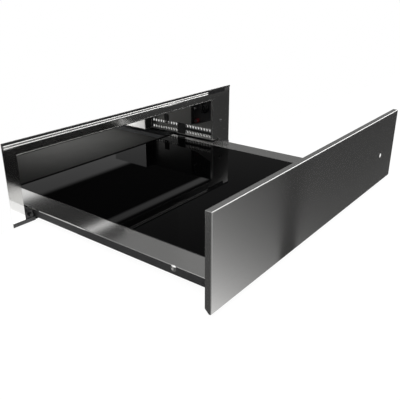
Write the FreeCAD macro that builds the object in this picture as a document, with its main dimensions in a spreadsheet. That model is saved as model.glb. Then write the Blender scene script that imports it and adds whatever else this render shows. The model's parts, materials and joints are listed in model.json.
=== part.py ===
"""Warming drawer, standing open: a heated cavity in a steel housing, and a flat drawer with a glass floor.

Millimetres. +X runs to the right along the front, +Y to the rear, +Z up from the counter. The origin lies
on the counter, half way across and half way from the drawer's front to the rear wall, drawer open.
"""
import FreeCAD, Part
import os

import Sketcher
from FreeCAD import Vector

# Driving dimensions: name, value, meaning.
SIZES = [
    # Drawer front
    ("front_width", 595.0, "width of the drawer front, and of the frame behind it"),
    ("front_height", 131.0, "height of the drawer front"),
    ("front_thick", 9.5, "thickness of the drawer front"),
    ("front_bevel", 1.0, "bevel round the outer face"),
    ("front_drop", 3.0, "top of the frame above the top of the front"),
    ("grip_height", 6.0, "height of the finger bevel behind the lower edge"),
    ("grip_depth", 6.0, "depth of the finger bevel"),
    ("skin_wall", 1.2, "steel skin of the front"),
    ("back_plate_thick", 1.0, "plate that closes the front from behind"),
    ("fit_gap", 0.3, "room left round a piece that drops into another"),
    ("lens_inset", 67.9, "status lens from the front's right edge"),
    ("lens_drop", 73.4, "status lens below the front's top edge"),
    ("lens_radius", 2.9, "status lens"),
    ("lens_rim", 1.1, "wall of the ring round the lens"),
    # Frame
    ("front_lift", 4.0, "underside of the front above the frame's lower edge"),
    ("frame_wall", 1.5, "sheet of the frame"),
    ("top_rail", 24.0, "frame above the mouth"),
    ("left_stile", 23.5, "frame left of the mouth"),
    ("right_stile", 65.5, "frame right of the mouth"),
    ("toe_height", 6.0, "lip under the mouth at its left end"),
    ("lip_height", 3.6, "rubber lip along the frame's top edge"),
    ("lip_proud", 1.0, "rubber lip in front of the frame"),
    ("bead_radius", 1.7, "half-round bead of the trim strip"),
    ("bead_gap", 0.5, "groove between the two beads"),
    ("trim_base", 0.6, "thickness of the trim strip between its beads"),
    ("trim_inset", 3.0, "trim strip from the frame's left edge"),
    ("trim_stop", 85.5, "trim strip's end from the frame's right edge"),
    ("grille_width", 64.0, "air outlet grille beside the trim strip"),
    ("grille_margin", 1.5, "band above and below the grille's slots"),
    ("grille_depth", 0.5, "depth of the grille's slots"),
    ("stile_screw_inset", 34.5, "screw in the right stile, from the frame's right edge"),
    ("stile_screw_drop", 77.0, "screw in the right stile, below the frame's top"),
    # Housing
    ("body_inset", 17.5, "side of the housing inside the frame's edge"),
    ("body_depth", 525.0, "frame face to the back of the rear wall"),
    ("body_drop", 8.0, "cover below the frame's top"),
    ("floor_sheet", 1.2, "base plate and cover"),
    ("wall_sheet", 1.0, "side walls and rear wall"),
    ("wall_flange", 14.0, "folded top edge of a side wall"),
    ("liner_sheet", 1.2, "inner walls of the cavity"),
    ("liner_setback", 24.0, "rear wall's outer face to the rear liner's back"),
    ("ceiling_gap", 0.6, "ceiling above the mouth's top edge"),
    ("foot_height", 3.0, "rubber feet"),
    ("foot_radius", 12.0, "rubber feet"),
    ("foot_inset", 38.0, "foot centre from the base plate's edges"),
    # Tray
    ("tray_inset", 44.0, "skirts inside the front's ends"),
    ("rear_play", 6.8, "room behind the tray when the drawer is shut"),
    ("tray_height", 14.0, "height of the skirts"),
    ("tray_lift", 1.8, "skirts above the base plate"),
    ("tray_sheet", 1.2, "steel of the tray"),
    ("flange_width", 42.0, "steel edge beside the glass"),
    ("front_flange", 18.0, "steel edge between the front and the glass"),
    ("edge_round", 1.0, "bend along the tray's outer edges"),
    ("glass_thick", 4.0, "glass plate"),
    ("glass_recess", 0.4, "glass below the steel edges"),
    ("seal_side", 1.5, "black seal beside the glass"),
    ("seal_rear", 3.0, "black seal behind the glass"),
    ("ledge_width", 10.0, "ledge that carries the glass"),
    ("pan_sheet", 0.8, "pan under the glass"),
    ("pan_drop", 7.6, "depth of the pan"),
    ("pan_inset", 1.0, "pan inside the glass opening"),
    ("bar_thick", 3.0, "clamping bar behind the tray's front skirt"),
    ("bar_margin", 14.4, "clamping bar beyond its outer screws"),
    ("side_screw_pitch", 350.0, "distance between the screws in a skirt"),
    ("side_screw_start", 84.5, "first skirt screw behind the front"),
    ("side_screw_drop", 4.4, "skirt screws below the tray's top"),
    ("front_screw_drop", 3.4, "screws into the front below the tray's top"),
    ("front_screw_x", 180.0, "outer screws into the front from the middle"),
    ("front_screw_radius", 1.3, "screws into the front"),
    ("front_head_radius", 2.1, "heads of the screws into the front"),
    # Travel
    ("closed_gap", 3.5, "front's back to the frame when the drawer is shut"),
    ("travel", 375.0, "how far the drawer slides"),
    ("pass_gap", 3.0, "room between the tray and what it slides under"),
    ("side_gap", 3.5, "room beside the tray in the frame"),
    # Rails
    ("rail_width", 34.0, "outer member of a rail"),
    ("rail_height", 8.8, "outer member of a rail"),
    ("rail_wall", 1.2, "steel of the rails"),
    ("rail_gap", 0.4, "running gap between members"),
    ("rail_lip", 2.0, "folded lips that hold the next member"),
    ("rail_start", 6.0, "outer member behind the frame face"),
    ("rail_end_gap", 9.8, "outer member ends before the rear liner"),
    ("middle_trim", 22.0, "middle member shorter than the outer, at each end"),
    ("inner_trim", 13.0, "inner member shorter than the tray, at each end"),
    ("bracket_length", 16.0, "bracket from a skirt to its rail"),
    ("bracket_gap", 0.6, "bracket above the outer member"),
    ("rail_pass", 1.0, "room round a rail in the tray's rear skirt"),
    # Air duct and controls
    ("duct_length", 190.0, "air duct behind the frame"),
    ("duct_flange", 43.0, "front flange of the duct panel behind the right stile"),
    ("vent_width", 4.6, "air slot"),
    ("vent_height", 8.0, "air slot"),
    ("vent_pitch", 8.2, "air slot to air slot"),
    ("vent_rise", 7.0, "middle of the lower row of slots above the duct's lower edge"),
    ("vent_row_gap", 15.0, "lower row of slots to upper row"),
    ("vent_front", 7.0, "front group of slots behind the frame face"),
    ("vent_rear", 107.0, "rear group of slots behind the frame face"),
    ("slot_width", 12.0, "cable slot in the duct panel"),
    ("slot_height", 21.0, "cable slot in the duct panel"),
    ("slot_y", 139.5, "cable slot behind the frame face"),
    ("slot_drop", 64.0, "cable slot's middle below the mouth's top edge"),
    ("recess_depth", 12.0, "control recess"),
    ("recess_front", 5.0, "control recess behind the frame face"),
    ("recess_rear", 63.0, "rear end of the control recess"),
    ("recess_bend", 43.0, "bend of the recess's lower edge behind the frame face"),
    ("recess_top", 3.0, "recess below the mouth's top edge"),
    ("recess_low_front", 48.0, "recess's lower edge at its front end, below the mouth's top edge"),
    ("recess_low_mid", 62.0, "recess's lower edge at its bend, below the mouth's top edge"),
    ("recess_low_rear", 66.0, "recess's lower edge at its rear end, below the mouth's top edge"),
    ("knob_radius", 12.0, "temperature knob"),
    ("knob_y", 32.0, "knob behind the frame face"),
    ("knob_drop", 25.0, "knob below the mouth's top edge"),
    ("knob_height", 11.0, "temperature knob"),
    ("knob_gap", 0.8, "knob in front of the recess's floor"),
    ("knob_grip", 3.2, "width of the knob's grip bar"),
    ("knob_grip_reach", 9.8, "half the length of the knob's grip bar"),
    ("knob_grip_round", 0.5, "round on the grip bar's edges"),
    ("knob_grip_height", 5.0, "grip bar in front of the knob's face"),
    ("knob_face_radius", 10.1, "knob's face"),
    ("knob_waist_radius", 10.8, "knob behind its face"),
    ("knob_neck_radius", 11.5, "knob in front of its skirt"),
    ("knob_step", 1.0, "slope round the knob's face"),
    ("knob_skirt", 2.0, "thickness of the knob's skirt"),
    ("knob_bore", 7.8, "shaft inside the knob"),
    ("shaft_radius", 3.0, "thermostat shaft"),
    ("shaft_length", 24.0, "thermostat shaft"),
    ("thermostat_size", 28.0, "side of the thermostat's body"),
    ("thermostat_depth", 24.0, "depth of the thermostat's body"),
    ("running_play", 0.05, "radial play of a shaft in its bore"),
    ("button_radius", 3.4, "power button"),
    ("button_y", 51.5, "power button behind the frame face"),
    ("button_drop", 56.5, "power button below the mouth's top edge"),
    ("button_travel", 2.0, "power button"),
    ("button_thick", 4.5, "power button's cap"),
    ("stem_radius", 2.0, "power button's stem"),
    ("stem_length", 14.0, "power button's stem"),
    ("ring_wall", 1.6, "red ring round the power button"),
    ("ring_height", 9.0, "red ring above the recess's floor"),
    ("switch_radius", 7.0, "switch body"),
    ("switch_depth", 18.0, "switch body"),
    ("lamp_y", 57.5, "pilot lamp behind the frame face"),
    ("lamp_drop", 28.0, "pilot lamp below the mouth's top edge"),
    ("lamp_radius", 2.6, "pilot lamp"),
    ("lamp_height", 8.0, "pilot lamp above the recess's floor"),
    ("lamp_tail", 12.0, "pilot lamp behind the recess's floor"),
    ("lamp_dome", 1.0, "rounded end of the pilot lamp"),
    ("lamp_crown", 1.6, "radius of the pilot lamp's end"),
    # Fan
    ("fan_box_inset", 24.0, "fan box stands into the cavity from the duct panel"),
    ("fan_box_length", 112.0, "fan box"),
    ("fan_sheet", 1.0, "fan box"),
    ("box_lip", 2.0, "edge left round the fan box's mouth"),
    ("inlet_radius", 24.0, "air inlet in the back of the fan box"),
    ("wheel_radius", 29.0, "fan wheel"),
    ("wheel_width", 26.0, "fan wheel"),
    ("wheel_gap", 4.0, "fan wheel in front of the inlet wall"),
    ("wheel_disc", 2.0, "fan wheel's disc and rim"),
    ("hub_radius", 6.0, "fan wheel's hub"),
    ("hub_length", 14.0, "fan wheel's hub"),
    ("blade_depth", 6.0, "fan wheel blades, along the radius"),
    ("blade_thick", 1.2, "fan wheel blades"),
    ("blade_edge", 0.6, "blades inside the edges of the wheel's rim"),
    ("motor_radius", 18.0, "fan motor"),
    ("motor_length", 34.0, "fan motor"),
    ("motor_gap", 6.0, "fan motor to the wheel"),
    ("motor_shaft", 2.5, "fan motor's shaft"),
    ("motor_bore", 18.0, "shaft's seat in the motor"),
    ("bracket_width", 20.0, "motor bracket"),
    ("heater_radius", 3.2, "air heater's tube"),
    ("heater_length", 78.0, "air heater's tube"),
    ("heater_start", 102.0, "air heater behind the frame face"),
    ("fin_radius", 9.0, "air heater's fins"),
    ("fin_thick", 0.8, "air heater's fins"),
    ("fin_pitch", 6.0, "air heater's fins"),
    ("fin_first", 9.0, "first fin from the tube's end"),
    ("lug_thick", 1.6, "lugs that carry the air heater"),
    ("cutout_radius", 8.0, "thermal cut-out"),
    ("cutout_height", 6.0, "thermal cut-out"),
    ("cutout_rise", 18.0, "thermal cut-out above the heater's axis"),
    # Latches
    ("latch_width", 15.0, "push latch"),
    ("latch_height", 16.0, "push latch"),
    ("latch_length", 60.0, "push latch"),
    ("latch_rise", 10.8, "plunger's axis above the base plate"),
    ("plunger_radius", 3.0, "latch plunger"),
    ("plunger_travel", 3.0, "latch plunger"),
    ("plunger_seat", 30.0, "plunger inside its latch"),
    ("spring_room", 3.0, "bore behind the plunger when it is pressed in"),
    # Bumpers, fasteners and electrical pieces
    ("bumper_radius", 5.0, "rubber bumpers behind the front"),
    ("bumper_thick", 2.5, "rubber bumpers behind the front"),
    ("bumper_inset", 12.0, "bumpers from the front's ends"),
    ("bumper_margin", 20.0, "bumpers from the front's top and above its finger bevel"),
    ("screw_radius", 1.6, "screw shanks"),
    ("screw_length", 5.0, "screw shanks"),
    ("head_radius", 3.6, "screw heads"),
    ("head_height", 1.8, "screw heads"),
    ("crown_share", 0.72, "top of a screw head, as a share of its radius"),
    ("hole_play", 0.15, "screw holes, beyond the shank"),
    ("cover_screw_start", 60.0, "first cover screw behind the frame face"),
    ("cover_screw_pitch", 210.0, "cover screw to cover screw"),
    ("gland_radius", 9.0, "cable gland's flange"),
    ("gland_nose", 6.8, "cable gland's outer end"),
    ("gland_neck", 6.2, "cable gland's neck"),
    ("gland_proud", 4.0, "cable gland outside the rear wall"),
    ("gland_nut", 5.0, "cable gland inside the rear wall"),
    ("cable_radius", 3.6, "cable bore of the gland"),
    ("gland_x", 250.0, "cable gland from the middle"),
    ("gland_rise", 40.0, "cable gland above the base plate"),
    ("terminal_width", 34.0, "terminal block"),
    ("terminal_depth", 12.0, "terminal block"),
    ("terminal_height", 18.0, "terminal block"),
    ("terminal_gap", 3.0, "terminal block to the rear liner"),
    ("well_radius", 1.6, "wire funnels of the terminal block"),
    ("louvre_width", 40.0, "air slots in the rear wall"),
    ("louvre_height", 4.0, "air slots in the rear wall"),
    ("louvre_pitch", 56.0, "air slots in the rear wall, side by side"),
    ("louvre_row", 12.0, "air slots in the rear wall, row to row"),
    ("louvre_rise", 65.8, "lowest row of air slots above the base plate"),
]


class Size:
    """A length that carries its number and the formula that the document binds to."""

    def __init__(self, number, formula):
        self.number = number
        self.formula = formula

    def join(self, sign, other, number, swapped=False):
        left, right = (other, self) if swapped else (self, other)
        return Size(number, f"({as_formula(left)} {sign} {as_formula(right)})")

    def __add__(self, other):
        return self.join("+", other, self.number + as_number(other))

    def __radd__(self, other):
        return self.join("+", other, as_number(other) + self.number, True)

    def __sub__(self, other):
        return self.join("-", other, self.number - as_number(other))

    def __rsub__(self, other):
        return self.join("-", other, as_number(other) - self.number, True)

    def __mul__(self, other):
        return self.join("*", other, self.number * as_number(other))

    def __rmul__(self, other):
        return self.join("*", other, as_number(other) * self.number, True)

    def __truediv__(self, other):
        return self.join("/", other, self.number / as_number(other))

    def __neg__(self):
        return Size(-self.number, f"(0 - {self.formula})")


def as_number(value):
    return value.number if isinstance(value, Size) else float(value)


def as_formula(value):
    return value.formula if isinstance(value, Size) else repr(float(value))


doc = FreeCAD.newDocument("warming_drawer")
sheet = doc.addObject("Spreadsheet::Sheet", "Sizes")


class Sizes:
    """The driving dimensions by name, as Size values bound to the spreadsheet."""


s = Sizes()
for row, (alias, value, meaning) in enumerate(SIZES, 1):
    sheet.set(f"A{row}", alias)
    sheet.set(f"B{row}", str(value))
    sheet.set(f"C{row}", meaning)
    sheet.setAlias(f"B{row}", alias)
    setattr(s, alias, Size(value, f"Sizes.{alias}"))
doc.recompute()

subparts = []
pockets = []


def bind(thing, prop, value):
    """Tie one property to the spreadsheet."""
    thing.setExpression(prop, as_formula(value))


def place(thing, x=0, y=0, z=0):
    for axis, value in (("x", x), ("y", y), ("z", z)):
        bind(thing, f"Placement.Base.{axis}", value)
    return thing


def named(thing, label):
    thing.Label = label
    subparts.append(thing)
    return thing


# PartDesign helpers ------------------------------------------------------------------------------------

def new_body(label):
    return named(doc.addObject("PartDesign::Body", label), label)


def new_sketch(body, plane, offset=0):
    """A sketch on one of the body's own planes, moved along the plane's normal."""
    sketch = body.newObject("Sketcher::SketchObject", body.Name + "_sketch")
    support = next(f for f in body.Origin.OriginFeatures if f.Role == plane + "_Plane")
    sketch.AttachmentSupport = [(support, "")]
    sketch.MapMode = "FlatFace"
    bind(sketch, "AttachmentOffset.Base.z", offset)
    return sketch


def hold(sketch, pins):
    """Add constraints in one go; a pin is (kind, geometry, point, value), bound where it has a value."""
    made = []
    for kind, geometry, point, value in pins:
        if kind == "Coincident":
            made.append(Sketcher.Constraint(kind, geometry, 2, value, 1))
        elif kind == "Radius":
            made.append(Sketcher.Constraint(kind, geometry, as_number(value)))
        else:
            made.append(Sketcher.Constraint(kind, -1, 1, geometry, point, as_number(value)))
    first = sketch.ConstraintCount
    sketch.addConstraint(made)
    for index, (kind, geometry, point, value) in enumerate(pins, first):
        if kind != "Coincident":
            bind(sketch, f"Constraints[{index}]", value)


def outline(sketch, points):
    """A closed polygon through points whose coordinates are bound to the spreadsheet."""
    first = sketch.GeometryCount
    lines = []
    for (ax, ay), (bx, by) in zip(points, points[1:] + points[:1]):
        start = Vector(as_number(ax), as_number(ay), 0)
        end = Vector(as_number(bx), as_number(by), 0)
        lines.append(Part.LineSegment(start, end))
    sketch.addGeometry(lines, False)
    count = len(points)
    pins = [("Coincident", first + i, 2, first + (i + 1) % count) for i in range(count)]
    for i, (px, py) in enumerate(points):
        pins += [("DistanceX", first + i, 1, px), ("DistanceY", first + i, 1, py)]
    hold(sketch, pins)


def rectangle(sketch, u, v):
    outline(sketch, [(u[0], v[0]), (u[1], v[0]), (u[1], v[1]), (u[0], v[1])])


def circle(sketch, u, v, radius):
    centre = Vector(as_number(u), as_number(v), 0)
    geometry = sketch.addGeometry(Part.Circle(centre, Vector(0, 0, 1), as_number(radius)), False)
    hold(sketch, [("DistanceX", geometry, 3, u), ("DistanceY", geometry, 3, v),
                  ("Radius", geometry, 0, radius)])


def pad(body, sketch, length, backwards=False):
    feature = body.newObject("PartDesign::Pad", body.Name + "_pad")
    feature.Profile = sketch
    bind(feature, "Length", length)
    feature.Reversed = backwards
    body.Tip = feature
    return feature


def pocket(body, sketch, depth, backwards=False):
    """Cut a sketch into the body; check_pockets tells later whether it took material away."""
    base = body.Tip
    feature = body.newObject("PartDesign::Pocket", body.Name + "_pocket")
    feature.Profile = sketch
    bind(feature, "Length", depth)
    feature.Reversed = backwards
    pockets.append((body, base, feature))
    body.Tip = feature
    return feature


def check_pockets():
    for body, base, feature in pockets:
        if not feature.Shape.Volume < base.Shape.Volume:
            raise ValueError(f"{body.Label}: a pocket cuts nothing")


def origin_axis(body, letter):
    return next(f for f in body.Origin.OriginFeatures if f.Role == letter + "_Axis")


def repeat(body, feature, letter, length, count):
    """Repeat a feature in a row along one of the body's axes, over the given length."""
    pattern = body.newObject("PartDesign::LinearPattern", body.Name + "_row")
    pattern.Originals = [feature]
    pattern.Direction = (origin_axis(body, letter), [""])
    bind(pattern, "Length", length)
    pattern.Occurrences = count
    body.Tip = pattern
    return pattern


def profile_along_y(label, points, start, length):
    """A body of constant section: the section is drawn in XZ and runs to the rear from start."""
    body = new_body(label)
    outline_sketch = new_sketch(body, "XZ")
    outline(outline_sketch, points)
    pad(body, outline_sketch, length, backwards=True)
    return place(body, y=start)


def profile_along_x(label, points, start, length):
    """A body of constant section drawn in YZ, running to the right from start."""
    body = new_body(label)
    outline_sketch = new_sketch(body, "YZ")
    outline(outline_sketch, points)
    pad(body, outline_sketch, length)
    return place(body, x=start)


def plate(label, x, y, z):
    """A flat rectangular body between three pairs of limits."""
    body = new_body(label)
    base = new_sketch(body, "XY")
    rectangle(base, x, y)
    pad(body, base, z[1] - z[0])
    return place(body, z=z[0])


def ring_pad(body, z, height, outer, inner):
    """A rectangular ring: outer and inner are ((x0, x1), (y0, y1))."""
    sketch = new_sketch(body, "XY", z)
    rectangle(sketch, *outer)
    rectangle(sketch, *inner)
    return pad(body, sketch, height)


def drill_z(body, centres, radius, z, depth):
    """Round holes down from height z of a body, at (x, y) centres."""
    sketch = new_sketch(body, "XY", z)
    for cx, cy in centres:
        circle(sketch, cx, cy, radius)
    pocket(body, sketch, depth)


def drill_y(body, centres, radius, y, depth):
    """Round holes to the rear from depth y of a body, at (x, z) centres."""
    sketch = new_sketch(body, "XZ", -y)
    for cx, cz in centres:
        circle(sketch, cx, cz, radius)
    pocket(body, sketch, depth)


def soften(body, radius, wanted, kind="Fillet"):
    """Round or chamfer the edges that wanted(edge) accepts."""
    base = body.Tip
    base.recompute(True)
    names = [f"Edge{i}" for i, edge in enumerate(base.Shape.Edges, 1) if wanted(edge)]
    if not names:
        raise ValueError(f"{body.Label}: no edge to soften")
    feature = body.newObject("PartDesign::" + kind, body.Name + "_" + kind.lower())
    feature.Base = (base, names)
    bind(feature, "Radius" if kind == "Fillet" else "Size", radius)
    body.Tip = feature
    return feature


def runs_along(edge, direction):
    """True for a straight edge along X, Y or Z."""
    if not isinstance(edge.Curve, Part.Line):
        return False
    return abs(edge.tangentAt(edge.FirstParameter).dot(direction)) > 0.999


def near(value, target):
    return abs(value - as_number(target)) < 0.01


# Part helpers ------------------------------------------------------------------------------------------

def block(x, y, z):
    """A Part box between three pairs of limits."""
    box = doc.addObject("Part::Box", "block")
    for prop, limits in (("Length", x), ("Width", y), ("Height", z)):
        bind(box, prop, limits[1] - limits[0])
    return place(box, x[0], y[0], z[0])


TURNS = {
    "X": FreeCAD.Rotation(Vector(0, 1, 0), 90),
    "Y": FreeCAD.Rotation(Vector(1, 0, 0), -90),
    "Z": FreeCAD.Rotation(),
}


def rod(radius, length, axis, x=0, y=0, z=0):
    """A Part cylinder along X, Y or Z from its start point."""
    cylinder = doc.addObject("Part::Cylinder", "rod")
    bind(cylinder, "Radius", radius)
    bind(cylinder, "Height", length)
    cylinder.Placement = FreeCAD.Placement(Vector(), TURNS[axis])
    return place(cylinder, x, y, z)


def taper(radius1, radius2, length, axis, x=0, y=0, z=0):
    """A Part cone along X, Y or Z from its start point."""
    cone = doc.addObject("Part::Cone", "taper")
    bind(cone, "Radius1", radius1)
    bind(cone, "Radius2", radius2)
    bind(cone, "Height", length)
    cone.Placement = FreeCAD.Placement(Vector(), TURNS[axis])
    return place(cone, x, y, z)


def fuse(pieces):
    joined = doc.addObject("Part::MultiFuse", "joined")
    joined.Shapes = pieces
    return joined


def cut(base, tool):
    result = doc.addObject("Part::Cut", "cut")
    result.Base = base
    result.Tool = tool
    return result


def group(label, pieces):
    """Identical pieces that stay separate solids, kept in one sub-part."""
    compound = doc.addObject("Part::Compound", label)
    compound.Links = pieces
    return named(compound, label)


def screw(axis, x, y, z, length, tip="+", radius=None, head=None):
    """A dome-headed screw: its head sits on the start point, its shank runs towards tip along the axis."""
    radius = radius or s.screw_radius
    head = head or s.head_radius
    crown = head * s.crown_share
    behind = {"X": x, "Y": y, "Z": z}
    if tip == "+":
        behind[axis] = behind[axis] - s.head_height
        cap = taper(crown, head, s.head_height, axis, behind["X"], behind["Y"], behind["Z"])
        shank = rod(radius, length, axis, x, y, z)
    else:
        behind[axis] = behind[axis] - length
        cap = taper(head, crown, s.head_height, axis, x, y, z)
        shank = rod(radius, length, axis, behind["X"], behind["Y"], behind["Z"])
    return fuse([cap, shank])


# Lines and planes that several pieces share --------------------------------------------------------------

half = s.front_width / 2
body_half = half - s.body_inset
wall_in = body_half - s.wall_sheet
tray_half = half - s.tray_inset
skirt_in = tray_half - s.tray_sheet
glass_half = tray_half - s.flange_width

floor_z = s.foot_height
deck_z = floor_z + s.floor_sheet
frame_height = s.front_height + s.front_drop + s.front_lift
frame_top = floor_z + frame_height
cover_top = frame_top - s.body_drop
cover_low = cover_top - s.floor_sheet
front_top = frame_top - s.front_drop
front_low = front_top - s.front_height
tray_low = deck_z + s.tray_lift
tray_top = tray_low + s.tray_height
ledge_top = tray_top - s.glass_recess - s.glass_thick
ledge_low = ledge_top - s.tray_sheet
duct_low = tray_top + s.pass_gap

mouth_left = s.left_stile - half
mouth_right = half - s.right_stile
mouth_top = frame_top - s.top_rail
ceiling_z = mouth_top + s.ceiling_gap
gate = tray_half + s.side_gap

face = (s.closed_gap + s.travel + s.front_thick - s.body_depth - s.gland_proud) / 2
front_back = face - s.closed_gap - s.travel
front_face = front_back - s.front_thick
rear = face + s.body_depth
rear_in = rear - s.wall_sheet
frame_back = face + s.frame_wall
liner_face = rear - s.liner_setback - s.liner_sheet
tray_length = s.body_depth - s.liner_setback - s.liner_sheet - s.rear_play + s.closed_gap
tray_end = front_back + tray_length
duct_end = face + s.duct_length
hole_radius = s.screw_radius + s.hole_play

LOUVRES = 7
LOUVRE_ROWS = 4
COVER_SCREWS = 3
HEATER_FINS = 11
TERMINAL_WELLS = 3
GRILLE_SLOTS = 12
WHEEL_BLADES = 20
VENT_GROUPS = ((s.vent_front, 9), (s.vent_rear, 10))
UP = Vector(0, 0, 1)
ALONG_X = Vector(1, 0, 0)
ALONG_Y = Vector(0, 1, 0)
SIDES = ((-1, "left"), (1, "right"))


def span(a, b):
    """Two limits in rising order."""
    return (a, b) if as_number(a) < as_number(b) else (b, a)


# Housing ------------------------------------------------------------------------------------------------

def base_plate():
    plate("base_plate", (-body_half, body_half), (frame_back, rear), (floor_z, deck_z))


def cover_screw_places(sign):
    x = sign * (body_half - s.wall_flange / 2)
    return [(x, face + s.cover_screw_start + i * s.cover_screw_pitch) for i in range(COVER_SCREWS)]


def side_walls():
    """Sheets with a folded top edge that takes the cover's screws."""
    for sign, side in SIDES:
        outer, inner, lip = (sign * v for v in (body_half, wall_in, body_half - s.wall_flange))
        low = cover_low - s.wall_sheet
        points = [(inner, deck_z), (outer, deck_z), (outer, cover_low), (lip, cover_low), (lip, low),
                  (inner, low)]
        wall = profile_along_y(f"{side}_side_wall", points, frame_back, rear_in - frame_back)
        centres = [(x, y - frame_back) for x, y in cover_screw_places(sign)]
        drill_z(wall, centres, hole_radius, cover_low, s.wall_sheet)


def rear_wall():
    wall = plate("rear_wall", (-body_half, body_half), (rear_in, rear), (deck_z, cover_low))
    slots = new_sketch(wall, "XZ", -rear_in)
    x = -LOUVRES / 2 * s.louvre_pitch
    for row in range(LOUVRE_ROWS):
        z = deck_z + s.louvre_rise + row * s.louvre_row
        rectangle(slots, (x, x + s.louvre_width), (z, z + s.louvre_height))
    first = pocket(wall, slots, s.wall_sheet)
    repeat(wall, first, "X", (LOUVRES - 1) * s.louvre_pitch, LOUVRES)
    drill_y(wall, [(s.gland_x, s.gland_rise)], s.gland_neck + s.hole_play, rear_in, s.wall_sheet)


def top_cover():
    cover = plate("top_cover", (-body_half, body_half), (frame_back, rear), (cover_low, cover_top))
    centres = cover_screw_places(-1) + cover_screw_places(1)
    drill_z(cover, centres, hole_radius, s.floor_sheet, s.floor_sheet)


def cover_screws():
    places = cover_screw_places(-1) + cover_screw_places(1)
    group("cover_screws", [screw("Z", x, y, cover_top, s.screw_length, "-") for x, y in places])


def feet():
    x = body_half - s.foot_inset
    ys = (frame_back + s.foot_inset, rear - s.foot_inset)
    group("feet", [rod(s.foot_radius, s.foot_height, "Z", sign * x, y) for sign in (-1, 1) for y in ys])


def frame():
    """The steel frame: a flat sheet whose mouth is open below, so that the tray's skirts pass."""
    body = new_body("front_frame")
    place(body, y=face)
    outer = new_sketch(body, "XZ")
    rectangle(outer, (-half, half), (floor_z, frame_top))
    pad(body, outer, s.frame_wall, backwards=True)
    toe = floor_z + s.toe_height
    below = floor_z - s.toe_height
    mouth = new_sketch(body, "XZ")
    outline(mouth, [(mouth_left, mouth_top), (mouth_right, mouth_top), (mouth_right, duct_low),
                    (gate, duct_low), (gate, below), (-gate, below), (-gate, toe), (mouth_left, toe)])
    pocket(body, mouth, s.frame_wall)
    drill_y(body, [(half - s.stile_screw_inset, frame_top - s.stile_screw_drop)], hole_radius, 0,
            s.frame_wall)
    drill_y(body, [(latch_x(1), plunger_z)], s.plunger_radius + s.fit_gap, 0, s.frame_wall)


def frame_screw():
    x = half - s.stile_screw_inset
    z = frame_top - s.stile_screw_drop
    named(screw("Y", x, face, z, s.screw_length), "frame_screw")


def frame_top_lip():
    z = frame_top - s.lip_height
    plate("frame_top_lip", (-half, half), (face - s.lip_proud, face), (z, frame_top))


trim_top = frame_top - s.lip_height
trim_low = trim_top - 4 * s.bead_radius - s.bead_gap
trim_end = half - s.trim_stop


def frame_trim_strip():
    """Two half-round beads side by side on a thin strip."""
    start = s.trim_inset - half
    length = trim_end - start
    beads = [rod(s.bead_radius, length, "X", start, face, trim_top - s.bead_radius),
             rod(s.bead_radius, length, "X", start, face, trim_low + s.bead_radius)]
    strip = block((start, trim_end), (face - s.trim_base, face), (trim_low, trim_top))
    behind = block((start, trim_end), (face, face + 2 * s.bead_radius), (trim_low, trim_top))
    named(cut(fuse(beads + [strip]), behind), "frame_trim_strip")


def air_outlet_grille():
    """A black insert with upright bars, in line with the trim strip."""
    start = trim_end + s.fit_gap
    grille = plate("air_outlet_grille", (start, start + s.grille_width), (face - s.lip_proud, face),
                   (trim_low, trim_top))
    pitch = s.grille_width / (GRILLE_SLOTS + 1)
    slots = new_sketch(grille, "XZ", s.lip_proud - face)
    rectangle(slots, (start + pitch - pitch / 4, start + pitch + pitch / 4),
              (s.grille_margin, trim_top - trim_low - s.grille_margin))
    first = pocket(grille, slots, s.grille_depth)
    repeat(grille, first, "X", (GRILLE_SLOTS - 1) * pitch, GRILLE_SLOTS)


def liners():
    """The cavity's left wall, rear wall and ceiling, with insulation above."""
    left_back = mouth_left - s.liner_sheet
    plate("left_liner", (left_back, mouth_left), (frame_back, liner_face), (deck_z, ceiling_z))
    liner_back = liner_face + s.liner_sheet
    plate("rear_liner", (left_back, wall_in), (liner_face, liner_back), (deck_z, ceiling_z))
    ceiling_top = ceiling_z + s.liner_sheet
    plate("ceiling_panel", (left_back, wall_in), (frame_back, liner_back), (ceiling_z, ceiling_top))
    pad_half = body_half - s.wall_flange - s.fit_gap
    plate("ceiling_insulation", (-pad_half, pad_half), (frame_back, liner_back),
          (ceiling_top, cover_low - s.wall_sheet))


# Air duct and controls ----------------------------------------------------------------------------------

def recess_points(inset=0):
    """The control recess's outline in (y behind the face, height), shrunk by inset."""
    return [
        (s.recess_front + inset, mouth_top - s.recess_low_front + inset),
        (s.recess_bend, mouth_top - s.recess_low_mid + inset),
        (s.recess_rear - inset, mouth_top - s.recess_low_rear + inset),
        (s.recess_rear - inset, mouth_top - s.recess_top - inset),
        (s.recess_front + inset, mouth_top - s.recess_top - inset),
    ]


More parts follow.
